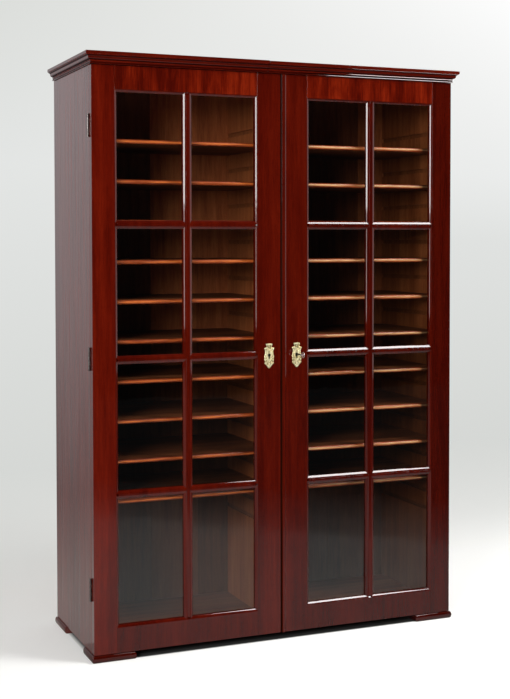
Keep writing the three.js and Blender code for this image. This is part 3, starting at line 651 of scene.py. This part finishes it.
def foot_piece(node, material, slot):
    """A block, half-round at its outer end. A front foot is so at its front and its inner end as well."""
    low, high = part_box(node)
    front = node.startswith("front")
    outer, inner = (low.x, high.x) if "left" in node else (high.x, low.x)
    towards = 1 if inner > outer else -1
    run, length, height = abs(inner - outer), high.y - low.y, high.z - low.z
    stations = []
    for step in range(FOOT_STEPS + 1):
        turn = step / FOOT_STEPS * pi
        inset = FOOT_ROUNDING * (1 - sin(turn))
        rise = height * (1 - cos(turn)) / 2

        def place(x, y, inset=inset, rise=rise):
            if x < run / 2:
                x += inset
            elif front:
                x -= inset
            if front and y < length / 2:
                y += inset
            return outer + towards * x, low.y + y, rise

        stations.append(place)
    corner = FOOT_CORNER
    outline = [(corner, 0), (run, 0), (run, length), (0, length), (0, corner),
               (corner * CORNER_SHARE, corner * CORNER_SHARE)]
    foot = lofted(node + "_block", outline, stations, material, smooth=True)
    finished(creased(foot, 35), "carcass", slot, node)


# Doors
PANE_ROWS = 4
CROSS_BAR, UPRIGHT_BAR = 0.0273, 0.0315
SIGHT_EDGE = 0.0085
GLASS_PLAY = 0.0003
PANE_COVER = 0.007
PANE_COLUMNS = "ab"


def sight_spans(side):
    """The clear openings of the panes, as spans along X and Z."""
    low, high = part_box(f"{side}_door_glass")
    x0, x1 = low.x - GLASS_PLAY + SIGHT_EDGE, high.x + GLASS_PLAY - SIGHT_EDGE
    z0, z1 = low.z - GLASS_PLAY + SIGHT_EDGE, high.z + GLASS_PLAY - SIGHT_EDGE
    middle = (x0 + x1) / 2
    columns = [(x0, middle - UPRIGHT_BAR / 2), (middle + UPRIGHT_BAR / 2, x1)]
    height = (z1 - z0 - (PANE_ROWS - 1) * CROSS_BAR) / PANE_ROWS
    starts = [z0 + n * (height + CROSS_BAR) for n in range(PANE_ROWS)]
    return columns, [(start, start + height) for start in starts]


def on_door(piece, side, *replaced):
    finished(piece, f"{side}_door", "polished_mahogany", *replaced)


def each_pane(side):
    """Row, column, place in the name, and spans along X and Z, for each pane."""
    columns, rows = sight_spans(side)
    for r, row in enumerate(rows):
        for c, column in enumerate(columns):
            yield r, c, f"{r + 1}{PANE_COLUMNS[c]}", column, row


def panes(side, glass):
    low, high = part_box(f"{side}_door_glass")
    for r, c, label, *spans in each_pane(side):
        across, up = ((start - PANE_COVER, end + PANE_COVER) for start, end in spans)
        pane = box_piece(f"{side}_door_pane_{label}", across, (low.y, high.y), up, glass)
        finished(pane, f"{side}_door", "clear_glass", *([] if r or c else [f"{side}_door_glass"]))


# Painted light and shade: each part's tone makes the front lighter at the left and top and darker at the
# right and low down
DOOR_LIGHT_AND_SHADE = {
    "left": {"hinge_stile": 1.35, "meeting_stile": 1.0, "top_rail": 1.18, "bottom_rail": 0.85, "bars": 0.95},
    "right": {"hinge_stile": 0.62, "meeting_stile": 0.95, "top_rail": 1.15, "bottom_rail": 0.7, "bars": 0.85},
}
DOOR_FIGURES = {"hinge_stile": 0.2, "meeting_stile": 0.25, "top_rail": 0.5, "bottom_rail": 0.12}
STRIP_ROUNDING = 0.0052


def dress_door(side, seed):
    tones = DOOR_LIGHT_AND_SHADE[side]
    for n, (part, figure) in enumerate(DOOR_FIGURES.items()):
        palette = toned(FLAMED if part == "top_rail" else MAHOGANY, tones[part])
        rubbed_and_highlight = strip_low.x + STRIP_ROUNDING if (side, part) == ("right", "meeting_stile") else None
        wood = polished_wood(f"{side}_{part}_wood", "z", palette, seed + n, figure, rubbed_and_highlight)
        dressed(f"{side}_door_{part}", wood, 0.0004)
    bars = polished_wood(f"{side}_bars_wood", "z", toned(MAHOGANY, tones["bars"]), seed + 4)
    bar_fillets(side, bars)
    mouldings(side, bars)


# Glazing bars. In front of the glass are the flat fillets of the bars and the mouldings round the panes.
MOULD_WIDTH, BAR_MOULD_WIDTH = 0.0084, 0.0103
MOULD_TOP, MOULD_EDGE = 0.0001, 0.0064
MOULD_OVERLAP = 0.0002
MOULD_TURN = radians(30)
MOULD_STEPS = 8
LIP_DEPTH = 0.0118
FILLET_GAP = 0.00005
CROSS_STEP = 0.0001


def ring(name, outline, spans, material, widths=(1, 1, 1, 1), smooth=False):
    """A mitred frame round a rectangle: its outline is measured outwards from the rectangle, and in depth.
    The widths stretch it on the left, right, bottom and top."""
    (x0, x1), (z0, z1) = spans
    left, right, bottom, top = widths
    corners = [(x0, z0, -left, -bottom), (x1, z0, right, -bottom), (x1, z1, right, top), (x0, z1, -left, top)]
    points = [(x + sx * out, FACE_Y + depth, z + sz * out)
              for x, z, sx, sz in corners for out, depth in outline]
    return mesh_object(name, points, joined(pairs(4, closed=True), len(outline)), material, smooth)


def bowed(start, end, turn, steps):
    """Points of a shallow arc from start to end that bows out to the left of its way."""
    (x0, y0), (x1, y1) = start, end
    chord = hypot(x1 - x0, y1 - y0)
    radius = chord / 2 / sin(turn / 2)
    points = []
    for step in range(steps + 1):
        angle = (step / steps - 0.5) * turn
        along = 0.5 + radius * sin(angle) / chord
        rise = radius * (cos(angle) - cos(turn / 2)) / chord
        points.append((x0 + (x1 - x0) * along + (y1 - y0) * rise, y0 + (y1 - y0) * along - (x1 - x0) * rise))
    return points


def mouldings(side, wood):
    """The round moulding on the edges of the frame and, wider, of the bars, mitred round each pane."""
    curve = bowed((-MOULD_OVERLAP, MOULD_EDGE), (MOULD_WIDTH, MOULD_TOP), MOULD_TURN, MOULD_STEPS)
    outline = [(-MOULD_OVERLAP, LIP_DEPTH), *curve, (MOULD_WIDTH, LIP_DEPTH)]
    wide = BAR_MOULD_WIDTH / MOULD_WIDTH
    for r, c, label, column, row in each_pane(side):
        on_bar = (c == 1, c == 0, r > 0, r < PANE_ROWS - 1)
        widths = tuple(wide if on else 1 for on in on_bar)
        moulding = ring(f"{side}_door_moulding_{label}", outline, (column, row), wood, widths, smooth=True)
        on_door(creased(moulding, 30), side)


def bar_boxes(side, kind, wood, upright, ends, height, crosses, depths, gap, step, ease):
    """A door's upright as a box, then the cross pieces that meet it from both sides, from spans."""
    front, back = (FACE_Y + depth for depth in depths)
    box = box_piece(f"{side}_door_upright_{kind}", upright, (front, back), height, wood)
    on_door(bevelled(box, ease), side, *([f"{side}_door_glazing_bars"] if kind == "fillet" else []))
    spans = ((ends[0], upright[0] - gap), (upright[1] + gap, ends[1]))
    for r, up in enumerate(crosses):
        for label, across in zip(PANE_COLUMNS, spans):
            name = f"{side}_door_cross_{kind}_{r + 1}{label}"
            on_door(bevelled(box_piece(name, across, (front + step, back), up, wood), ease), side)


def bar_fillets(side, wood):
    columns, rows = sight_spans(side)
    clear, reach = BAR_MOULD_WIDTH + FILLET_GAP, MOULD_WIDTH - SIGHT_EDGE
    upright = (columns[0][1] + clear, columns[1][0] - clear)
    ends = (columns[0][0] + reach, columns[1][1] - reach)
    height = (rows[0][0] + reach, rows[-1][1] - reach)
    crosses = [(below[1] + clear, above[0] - clear) for below, above in zip(rows, rows[1:])]
    depths = (0, LIP_DEPTH)
    bar_boxes(side, "fillet", wood, upright, ends, height, crosses, depths, CROSS_STEP, CROSS_STEP, 0.0004)


# Behind the mouldings: the stems of the bars between the panes, and the beads that hold each pane
UPRIGHT_STEM, CROSS_STEM = 0.00775, 0.00565
STEM_DEPTHS = (0.0123, 0.0242)
STEM_GAP = 0.0002
BEAD_WIDTH, BEAD_DEPTH = 0.0072, 0.007
BEAD_FRONT = 0.0155
BEAD_GAP = 0.0002
BEAD_STEPS = 6


def bar_stems(side, wood):
    low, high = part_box(f"{side}_door_glass")
    columns, rows = sight_spans(side)
    middle = (columns[0][1] + columns[1][0]) / 2
    upright = (middle - UPRIGHT_STEM, middle + UPRIGHT_STEM)
    centres = [(below[1] + above[0]) / 2 for below, above in zip(rows, rows[1:])]
    crosses = [(centre - CROSS_STEM, centre + CROSS_STEM) for centre in centres]
    ends, height = (low.x, high.x), (low.z, high.z)
    bar_boxes(side, "stem", wood, upright, ends, height, crosses, STEM_DEPTHS, STEM_GAP, 0, 0.0005)


def beads(side, wood):
    round_face = [(BEAD_WIDTH * (1 - cos(turn)), BEAD_FRONT + BEAD_DEPTH * sin(turn))
                  for turn in quarter_turns(BEAD_STEPS)[1:]]
    outline = [(BEAD_GAP, BEAD_FRONT), (BEAD_WIDTH, BEAD_FRONT), *reversed(round_face)]
    for _, _, label, column, row in each_pane(side):
        on_door(ring(f"{side}_door_bead_{label}", outline, (column, row), wood), side)


# Escutcheons. Their half outline: distance out and fall from the top, as shares of the half width and height.
ESCUTCHEON_SHARES = (
    (0.0, 0.0), (0.25, 0.0), (0.63, 0.02), (0.47, 0.09), (0.46, 0.155),
    (0.97, 0.185), (0.84, 0.26), (0.8, 0.36), (0.87, 0.46),
    (1.0, 0.54), (0.88, 0.6), (0.96, 0.67), (0.82, 0.74),
    (0.94, 0.8), (0.57, 0.88), (0.33, 0.95), (0.12, 1.0), (0.0, 1.0),
)
ESCUTCHEON_STEPS = 5
CAST_RINGS = 26
HOLE_LIFT = 0.8
KEYHOLE_RISE, KEYHOLE_RADIUS = 0.0028, 0.0036
KEYHOLE_SLOT, KEYHOLE_DROP = 0.0018, 0.012
# How far round the keyhole the casting is painted dark, as painted shade
KEYHOLE_SHADE = 0.0013
# The keyhole is measured from a point a little below the middle of its round part
HUB_DROP = 0.001
HUB = Vector((0, KEYHOLE_RISE - HUB_DROP))
REACH_STEP, REACH_STEPS = 0.00004, 400


def spline(points, steps):
    """A curve through all the points."""
    result = []
    for n in range(len(points) - 1):
        p0, p1 = Vector(points[max(n - 1, 0)]), Vector(points[n])
        p2, p3 = Vector(points[n + 1]), Vector(points[min(n + 2, len(points) - 1)])
        for step in range(steps):
            t = step / steps
            result.append(0.5 * (2 * p1 + (p2 - p0) * t + (2 * p0 - 5 * p1 + 4 * p2 - p3) * t * t
                                 + (3 * p1 - p0 - 3 * p2 + p3) * t ** 3))
    result.append(Vector(points[-1]))
    return result


def keyhole_reach(angle):
    """How far the keyhole's edge is from its hub, at an angle."""
    direction = Vector((cos(angle), sin(angle)))
    reach = 0.0
    for step in range(1, REACH_STEPS):
        x, z = direction * step * REACH_STEP
        z -= HUB_DROP
        round_part = hypot(x, z) <= KEYHOLE_RADIUS
        slot_part = abs(x) <= KEYHOLE_SLOT and -KEYHOLE_DROP <= z <= 0
        if round_part or slot_part:
            reach = step * REACH_STEP
    return reach


def hump(share, middle, width):
    return exp(-((share - middle) / width) ** 2)


def cast_height(share, turn, z_share):
    """Height of the casting, as a share of its thickness, from its edge (0) to the keyhole (1)."""
    rim = 0.3 * hump(share, 0.12, 0.06)
    flutes = 0.26 * cos(turn * 18) * hump(share, 0.3, 0.16)
    scrolls = 0.16 * cos(turn * 7 + share * 16) * hump(share, 0.45, 0.2)
    bead = 0.28 * hump(share, 0.66, 0.045)
    dome = 0.12 * min(1.0, max(0.0, (share - 0.42) / 0.2)) + 0.08 * sin(z_share * 9)
    fall = min(1.0, share / 0.03)
    return fall * max(0.12, min(1.0, 0.3 + rim + flutes + scrolls + bead + dome)) + (1 - fall) * 0.2


def cast_escutcheon(side, material, hole_material):
    """The casting of a keyhole plate, painted dark round its hole as painted shade."""
    node = f"{side}_door_escutcheon"
    low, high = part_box(node)
    width, height, thickness = high.x - low.x, high.z - low.z, high.y - low.y
    middle_x, middle_z = (low.x + high.x) / 2, (low.z + high.z) / 2
    half = [(out * width / 2, (0.5 - fall) * height) for out, fall in ESCUTCHEON_SHARES]
    right = spline(half, ESCUTCHEON_STEPS)
    outer = [*right, *(Vector((-point.x, point.y)) for point in reversed(right[1:-1]))]
    inner = []
    for point in outer:
        away = point - HUB
        angle = atan2(away.y, away.x)
        inner.append(HUB + Vector((cos(angle), sin(angle))) * keyhole_reach(angle))
    points = []
    for number in range(CAST_RINGS + 1):
        share = number / CAST_RINGS
        for edge, hole in zip(outer, inner):
            place = edge.lerp(hole, share)
            away = place - HUB
            lift = cast_height(share, atan2(away.x, -away.y), edge.y / height)
            lift *= HOLE_LIFT if number == CAST_RINGS else 1
            points.append((middle_x + place.x, high.y - thickness * lift, middle_z + place.y))
    points += [(middle_x + place.x, high.y, middle_z + place.y) for place in (*outer, *inner)]
    back_outer, back_inner = CAST_RINGS + 1, CAST_RINGS + 2
    bands = [*pairs(CAST_RINGS + 1), (0, back_outer), (CAST_RINGS, back_inner), (back_outer, back_inner)]
    plate = mesh_object(f"{node}_casting", points, joined(bands, len(outer)), material, smooth=True)
    plate.data.materials.append(hole_material)
    for face in plate.data.polygons:
        away = Vector((face.center.x - middle_x, face.center.z - middle_z)) - HUB
        if away.length < keyhole_reach(atan2(away.y, away.x)) + KEYHOLE_SHADE:
            face.material_index = 1
    finished(creased(plate, 50), f"{side}_door", "pale_brass", node)


LINING_DEPTH, LINING_START = 0.0055, 0.0002
LINING_WALL = 0.0003
LINING_SIDES = 48
BLIND_FLOOR = (0.002, 0.0005)


def keyhole_lining(side, material):
    """The walls of the keyhole in the door, dark as painted shade, with a floor in the left door's blind one.
    """
    low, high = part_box(f"{side}_door_escutcheon")
    middle_x, middle_z = (low.x + high.x) / 2, (low.z + high.z) / 2 + KEYHOLE_RISE - HUB_DROP
    turns = full_turns(LINING_SIDES)
    reaches = [keyhole_reach(turn) for turn in turns]
    y0, y1 = high.y + LINING_START, high.y + LINING_DEPTH
    points = [(middle_x + cos(turn) * (reach + grow), y, middle_z + sin(turn) * (reach + grow))
              for grow, y in ((0, y0), (LINING_WALL, y0), (LINING_WALL, y1), (0, y1))
              for turn, reach in zip(turns, reaches)]
    faces = joined(pairs(4, closed=True), LINING_SIDES)
    on_door(mesh_object(f"{side}_door_keyhole_wall", points, faces, material), side)
    if side == "left":
        outline = [(cos(turn) * reach, sin(turn) * reach) for turn, reach in zip(turns, reaches)]
        stations = [lambda u, v, y=y1 - back: (middle_x + u, y, middle_z + v) for back in BLIND_FLOOR]
        on_door(lofted(f"{side}_door_keyhole_floor", outline, stations, material), side)


# Key: places along its collar from the bow's neck, and along its tip from the end, with the radius there
KEY_SIDES = 28
SHANK_RADIUS = 0.0028
KEY_COLLAR = ((-0.0035, 0.001), (-0.0028, 0.0024), (-0.0008, 0.0026), (0.0, 0.004), (0.001, 0.004),
              (0.0014, 0.0031), (0.0024, 0.0029), (0.003, 0.0038), (0.0038, 0.0038), (0.0044, SHANK_RADIUS))
KEY_TIP = ((-0.0045, SHANK_RADIUS), (-0.004, 0.0024), (-0.0006, 0.0024), (0.0, 0.0019))
# Bow: half of its wire's section out from the middle line and across, and how much it is pinched
BOW_STEPS, BOW_SIDES = 48, 14
BOW_RIM, BOW_THICK = 0.0021, 0.0015
BOW_PINCH = 0.1
# Bit: places from its back edge and from its foot
BIT_INSET, BIT_HALF = 0.0015, 0.0013
BIT_FRONT = -0.005
KEY_WARDS = ((BIT_FRONT, 0.0), (-0.0034, 0.0), (-0.0034, 0.0035), (-0.0026, 0.0035), (-0.0026, 0.0),
             (-0.0012, 0.0), (-0.0012, 0.0018), (0.0, 0.0018))


def key_shank(x, axis_z, neck, tip, material):
    outline = [(cos(turn), sin(turn)) for turn in full_turns(KEY_SIDES)]
    profile = [(neck + along, r) for along, r in KEY_COLLAR] + [(tip + along, r) for along, r in KEY_TIP]
    stations = [lambda a, b, y=y, r=r: (x + a * r, y, axis_z + b * r) for y, r in profile]
    shank = lofted("key_shank", outline, stations, material, smooth=True)
    finished(creased(shank, 40), "key", "key_steel", "key")


def key_bow(x, axis_z, front, bow, material):
    """The ring that the hand turns, a little narrower than it is long."""
    points = []
    for turn in full_turns(BOW_STEPS):
        pinch = 1 - BOW_PINCH * cos(2 * turn)
        reach_y, reach_z = bow - BOW_RIM, (bow - BOW_RIM) * pinch / (1 + BOW_PINCH)
        for roll in full_turns(BOW_SIDES):
            out = BOW_RIM * cos(roll)
            points.append((x + BOW_THICK * sin(roll), front + bow + cos(turn) * (reach_y + out),
                           axis_z + sin(turn) * (reach_z + out)))
    faces = joined(pairs(BOW_STEPS, closed=True), BOW_SIDES)
    finished(mesh_object("key_bow", points, faces, material, smooth=True), "key", "key_steel")


def key_bit(x, axis_z, foot, back, material):
    """The flag of the key, with its wards."""
    wards = [(back + along, foot + up) for along, up in KEY_WARDS]
    outline = [(back + BIT_FRONT, axis_z), *wards, (back, axis_z)]
    stations = [lambda y, z, across=across: (x + across, y, z) for across in (-BIT_HALF, BIT_HALF)]
    finished(bevelled(lofted("key_bit", outline, stations, material), 0.0002), "key", "key_steel")


def key_pieces(bow_steel, shaded_shank_steel):
    low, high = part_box("key")
    x, axis_z = (low.x + high.x) / 2, joint_place("key_turn")[2]
    bow = high.z - axis_z
    key_shank(x, axis_z, low.y + 2 * bow, high.y, shaded_shank_steel)
    key_bow(x, axis_z, low.y, bow, bow_steel)
    key_bit(x, axis_z, low.z, high.y - BIT_INSET, shaded_shank_steel)


# Screws
SCREW_RADIUS = 0.0031
# Distances out from the face, with the share of the radius there
SCREW_STATIONS = ((-0.0004, 1.0), (0.00011, 1.0), (0.00022, 0.93))
SCREW_STEPS = 12
SLOT_HALF = 0.00045
KNUCKLE_RADIUS = 0.0035
SCREW_STAGGER = 0.0022
SCREW_SHARES = (0.17, 0.5, 0.83)
LEAF_FLAT = 0.0145
LOCK_SCREW_INSET = 0.0065


def screw_halves(name, centre, towards, body, material, tilt):
    """A flush screw head, as the two sides of its slot. It stands a little way towards -Y or +Y."""
    x, y, z = centre
    along, across = cos(tilt), sin(tilt)
    start = asin(SLOT_HALF / SCREW_RADIUS)
    turns = [start + (pi - 2 * start) * n / SCREW_STEPS for n in range(SCREW_STEPS + 1)]
    for half, sign in (("a", -1), ("b", 1)):
        outline = [(sign * sin(turn) * SCREW_RADIUS, cos(turn) * SCREW_RADIUS) for turn in turns]
        outline = [(u if abs(u) > SLOT_HALF else sign * SLOT_HALF, v) for u, v in outline]
        stations = [lambda u, v, off=off, size=size: (x + (u * along - v * across) * size, y + towards * off,
                                                      z + (u * across + v * along) * size)
                    for off, size in SCREW_STATIONS]
        finished(lofted(f"{name}_{half}", outline, stations, material), body, "hinge_iron")


def leaf_screws(side, sign, level, leaf, material):
    """Three staggered screws in the flat of a leaf, on the face that shows when the door is open."""
    body, towards = ("carcass", -1) if leaf == "carcass" else (f"{side}_door", 1)
    node = f"{side}_{level}_hinge_{leaf}_leaf"
    low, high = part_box(node)
    knuckle = abs(joint_place(f"{side}_door_hinge")[0]) - KNUCKLE_RADIUS
    free_edge = min(abs(low.x), abs(high.x))
    flat = [v.co.y for v in NODES[node].data.vertices if abs(v.co.x) < free_edge + LEAF_FLAT]
    y = max(flat) if towards > 0 else min(flat)
    x = sign * (free_edge + knuckle) / 2
    for n, share in enumerate(SCREW_SHARES):
        centre = (x + SCREW_STAGGER * (-1) ** n, y, low.z + (high.z - low.z) * share)
        screw_halves(f"{node}_screw_{n + 1}", centre, towards, body, material, 0.7 * n + 0.4)


def lock_screws(material):
    low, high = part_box("lock_case")
    inset = LOCK_SCREW_INSET
    corners = [(x, z) for x in (low.x + inset, high.x - inset) for z in (low.z + inset, high.z - inset)]
    for n, (x, z) in enumerate(corners):
        screw_halves(f"lock_case_screw_{n + 1}", (x, high.y, z), 1, "right_door", material, 0.9 * n + 0.3)


def hardware():
    iron = metal("dark_iron", (0.05, 0.04, 0.037), (0.26, 0.23, 0.22), 0.34, 260)
    brass = metal("pale_brass_metal", (0.8, 0.62, 0.28), (1.0, 0.93, 0.62), 0.46, 120)
    bow_steel = metal("key_steel_metal", (0.4, 0.32, 0.31), (0.86, 0.76, 0.75), 0.3, 160)
    # The shank is the same steel as the bow, painted dark as shade
    shaded_shank_steel = metal("key_shank_steel", (0.03, 0.024, 0.022), (0.16, 0.13, 0.12), 0.3, 200)
    screw_iron = metal("screw_iron", (0.1, 0.085, 0.08), (0.32, 0.28, 0.26), 0.35, 300)
    leaves = [(side, sign, level, leaf) for side, sign in SIDES for level in HINGE_LEVELS
              for leaf in ("carcass", "door")]
    for side, _, level, leaf in leaves:
        dressed(f"{side}_{level}_hinge_{leaf}_leaf", iron, 0)
    dressed("lock_case", iron, 0.0003)
    dressed("lock_bolt", brass, 0.0003)
    key_pieces(bow_steel, shaded_shank_steel)
    for place in leaves:
        leaf_screws(*place, screw_iron)
    lock_screws(screw_iron)


# Stage: the profile of the floor and wall, then their colours
STAGE_HALF = 9.0
FLOOR_NEAR, FLOOR_FRONT = -7.0, -2.0
WALL_Y, WALL_TOP = 2.6, 6.0
BEND_RADIUS, BEND_STEPS = 1.3, 16
WALL_COLOURS = ((0.0, (0.655, 0.67, 0.65)), (0.6, (0.77, 0.785, 0.775)), (0.95, (0.7, 0.715, 0.69)))
# The right of the wall is lighter: from none of white at the first X and Z to a share of it at the others
WALL_GLOW_ACROSS = (-0.4, 2.9)
WALL_GLOW_HEIGHTS = (1.4, 2.85, 0.0, 0.97)
# What the left side mirrors, along the floor and up the wall
BESIDE_COLOURS = ((0.0, (0.6, 0.6, 0.58)), (0.13, (0.55, 0.55, 0.53)), (0.34, (0.3, 0.29, 0.29)),
                  (0.6, (0.5, 0.48, 0.49)), (0.8, (0.68, 0.66, 0.68)))
# The floor's colour in reflections and to the light that falls on the object, and the camera's own lift
FLOOR_SEEN, FLOOR_BOUNCE = (0.82, 0.82, 0.8), (0.55, 0.55, 0.54)
FLOOR_LIFT = 0.22
# How far the floor under the carcass is painted black, as painted shade
UNDER_SHARE = 0.92
# How much darker the floor far in front is in reflections
FRONT_FADES = ((0.17, 0.45), (0.4, 0.6), (0.56, 0.7), (0.62, 0.84), (0.75, 0.93), (0.92, 1.0))
FRONT_DARK = (0.03, 0.03, 0.03, 1)
# How softly the painted shade under the carcass ends at its sides, front and rear
UNDER_SIDE, UNDER_FRONT, UNDER_REAR = 0.02, (-0.002, 0.008), 0.05
# Where the left side's reflections start along X, and where the wall rises from the floor
ASIDE_SPAN, UPRIGHT_SPAN = (-0.6, -0.8), (0.6, 2.3)


def stage_mesh(material):
    """A pale floor that runs up into a pale wall behind, with a soft bend between them."""
    bend = WALL_Y - BEND_RADIUS
    profile = [(FLOOR_NEAR, 0.0), (FLOOR_FRONT, 0.0)]
    for turn in quarter_turns(BEND_STEPS):
        profile.append((bend + BEND_RADIUS * sin(turn), BEND_RADIUS * (1 - cos(turn))))
    profile.append((WALL_Y, WALL_TOP))
    points = [(x, y, z) for y, z in profile for x in (-STAGE_HALF, STAGE_HALF)]
    faces = [(2 * n, 2 * n + 1, 2 * n + 3, 2 * n + 2) for n in range(len(profile) - 1)]
    floor = mesh_object("studio_floor", points, faces, material, smooth=True)
    if floor.data.polygons[0].normal.z < 0:
        floor.data.flip_normals()
    return floor


def wall_glow(graph, x, y, z, aside):
    """The wall as it is seen. A reflection to the left of the object shows it darker."""
    even = graph.ramp(graph.span(z, 0, 3), WALL_COLOURS)
    lit = graph.times(graph.span(x, *WALL_GLOW_ACROSS), graph.span(z, *WALL_GLOW_HEIGHTS))
    beside = graph.ramp(graph.span(graph.math("ADD", y, z), 0, 6), BESIDE_COLOURS)
    return graph.glow(graph.mix(aside, graph.mix(lit, even, WHITE), beside))


def floor_paper(graph, x, y, path):
    """The floor: it takes the object's shadow, and is painted black under the carcass as painted shade."""
    under = graph.times(graph.span(graph.math("ABSOLUTE", x), HALF_WIDTH, HALF_WIDTH - UNDER_SIDE),
                        graph.span(y, *(FACE_Y + edge for edge in UNDER_FRONT)))
    under = graph.times(under, graph.span(y, REAR_Y, REAR_Y - UNDER_REAR))
    bounce = graph.mix(path["Is Diffuse Ray"], FLOOR_SEEN, FLOOR_BOUNCE)
    bounce = graph.mix(graph.times(under, UNDER_SHARE), bounce, BLACK)
    paper = graph.add("BsdfDiffuse", {"Color": bounce}).outputs[0]
    lift = graph.times(graph.times(path["Is Camera Ray"], FLOOR_LIFT), graph.math("SUBTRACT", 1.0, under))
    return graph.add("AddShader", {0: paper, 1: graph.glow((1, 1, 0.98, 1), lift)}).outputs[0]


def darker_front(graph, x, y, glossy, shown):
    """The same shader, darker far in front in reflections, towards the left."""
    away = graph.math("MULTIPLY_ADD", x, 0.9, graph.times(y, -1.0))
    fading = graph.ramp(graph.span(away, 0, 4), [(place, (share,) * 3) for place, share in FRONT_FADES])
    share = graph.times(graph.times(fading, glossy), graph.math("LESS_THAN", y, 0.0))
    return graph.mix_shader(share, shown, graph.glow(FRONT_DARK))


def stage():
    """The wall glows only where it is seen, and is clear from behind."""
    graph = new_graph("studio_paper")
    x, y, z = graph.x, graph.y, graph.z
    path = graph.add("LightPath").outputs
    glossy = path["Is Glossy Ray"]
    seen = graph.math("MAXIMUM", path["Is Camera Ray"], path["Is Transmission Ray"])
    seen = graph.math("MAXIMUM", seen, glossy)
    aside = graph.times(graph.span(x, *ASIDE_SPAN), glossy)
    upright = graph.span(graph.math("ADD", y, z), *UPRIGHT_SPAN)
    wall_seen = graph.times(graph.math("MAXIMUM", upright, aside), seen)
    shown = graph.mix_shader(wall_seen, floor_paper(graph, x, y, path), wall_glow(graph, x, y, z, aside))
    shown = darker_front(graph, x, y, glossy, shown)
    behind = graph.times(graph.add("NewGeometry").outputs["Backfacing"], upright)
    clear = graph.add("BsdfTransparent").outputs[0]
    floor = stage_mesh(graph.finish(graph.mix_shader(behind, shown, clear)))


# World and lamps
WORLD_SEEN = (0.8, 0.81, 0.81)
# Spans of a direction's parts, with the light at their ends
WORLD_BEHIND, WORLD_RIGHT, WORLD_ABOVE = (-0.25, 0.3, 0.01, 0.75), (0.75, 0.95), (0.3, 0.95, 0.03, 0.6)


def world():
    """In mirrors it is light behind and at the right. Otherwise its soft light comes from above."""
    owner = bpy.data.worlds.new("studio")
    bpy.context.scene.world = owner
    graph = Graph(owner, "Generated")
    path = graph.add("LightPath").outputs
    mirrored = graph.math("MAXIMUM", graph.span(graph.y, *WORLD_BEHIND), graph.span(graph.x, *WORLD_RIGHT))
    level = graph.mix(path["Is Glossy Ray"], graph.span(graph.z, *WORLD_ABOVE), mirrored)
    level = graph.mix(path["Is Camera Ray"], level, WORLD_SEEN)
    graph.finish(graph.add("Background", {"Color": level}).outputs[0], "OutputWorld")


def softbox(name, centre, target, width, height, radiance):
    data = bpy.data.lights.new(name, "AREA")
    data.shape = "RECTANGLE"
    data.size, data.size_y = width, height
    data.energy = radiance * pi * width * height
    lamp = linked(name, data)
    lamp.location = centre
    lamp.rotation_euler = (Vector(target) - Vector(centre)).to_track_quat("-Z", "Y").to_euler()
    lamp.visible_camera = False
    return lamp


def lamps():
    key = softbox("key", (2.15, -2.15, 3.7), (2.15, -2.15, 0.0), 1.15, 2.6, 20)
    key.rotation_euler = (0, 0, radians(27.6))
    softbox("left_front", (-4.05, -4.15, 2.5), (0.0, -0.2, 1.6), 2.4, 1.7, 16)
    softbox("left_low", (-4.1, -4.1, 1.2), (0.0, -0.2, 1.2), 1.3, 0.9, 5)


# The whole scene
DOOR_SEEDS = {"left": 70, "right": 80}
RECESS_DEPTHS, RECESS_PATINA = (0.0017, 0.0028), (0.4, 0.29, 0.1)


def feet():
    for end, slot, grain, palette, seed in (("front", "polished_mahogany", "x", toned(MAHOGANY, 0.6), 62),
                                            ("rear", "side_mahogany", "y", SIDE, 64)):
        for side, _ in SIDES:
            node = f"{end}_{side}_foot"
            foot_piece(node, polished_wood(f"{node}_wood", grain, palette, seed, 0.2), slot)


def doors():
    glass = glass_material()
    cast_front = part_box("left_door_escutcheon")[0].y
    recess = (*(cast_front + depth for depth in RECESS_DEPTHS), RECESS_PATINA)
    cast_brass = metal("cast_brass", (0.9, 0.74, 0.36), (1.0, 0.95, 0.68), 0.5, 160, recess)
    hole_shade_brass = metal("keyhole_shade_brass", (0.012, 0.009, 0.005), (0.03, 0.022, 0.012), 0.7, 160)
    lining = satin_wood("keyhole_shade_wood", "z", HOLE_SHADE_PALETTE, 4)
    for side, seed in DOOR_SEEDS.items():
        dress_door(side, seed)
        panes(side, glass)
        bead_wood = polished_wood(f"{side}_bead_wood", "z", toned(MAHOGANY, 0.9), seed + 6)
        bar_stems(side, bead_wood)
        beads(side, bead_wood)
        cast_escutcheon(side, cast_brass, hole_shade_brass)
        keyhole_lining(side, lining)


bpy.context.scene.view_settings.view_transform = "Standard"
add_camera()
stage()
world()
lamps()
dress_carcass()
shelves()
back_boards()
cornice_halves(cornice_wood())
feet()
doors()
hardware()
bpy.context.view_layer.update()
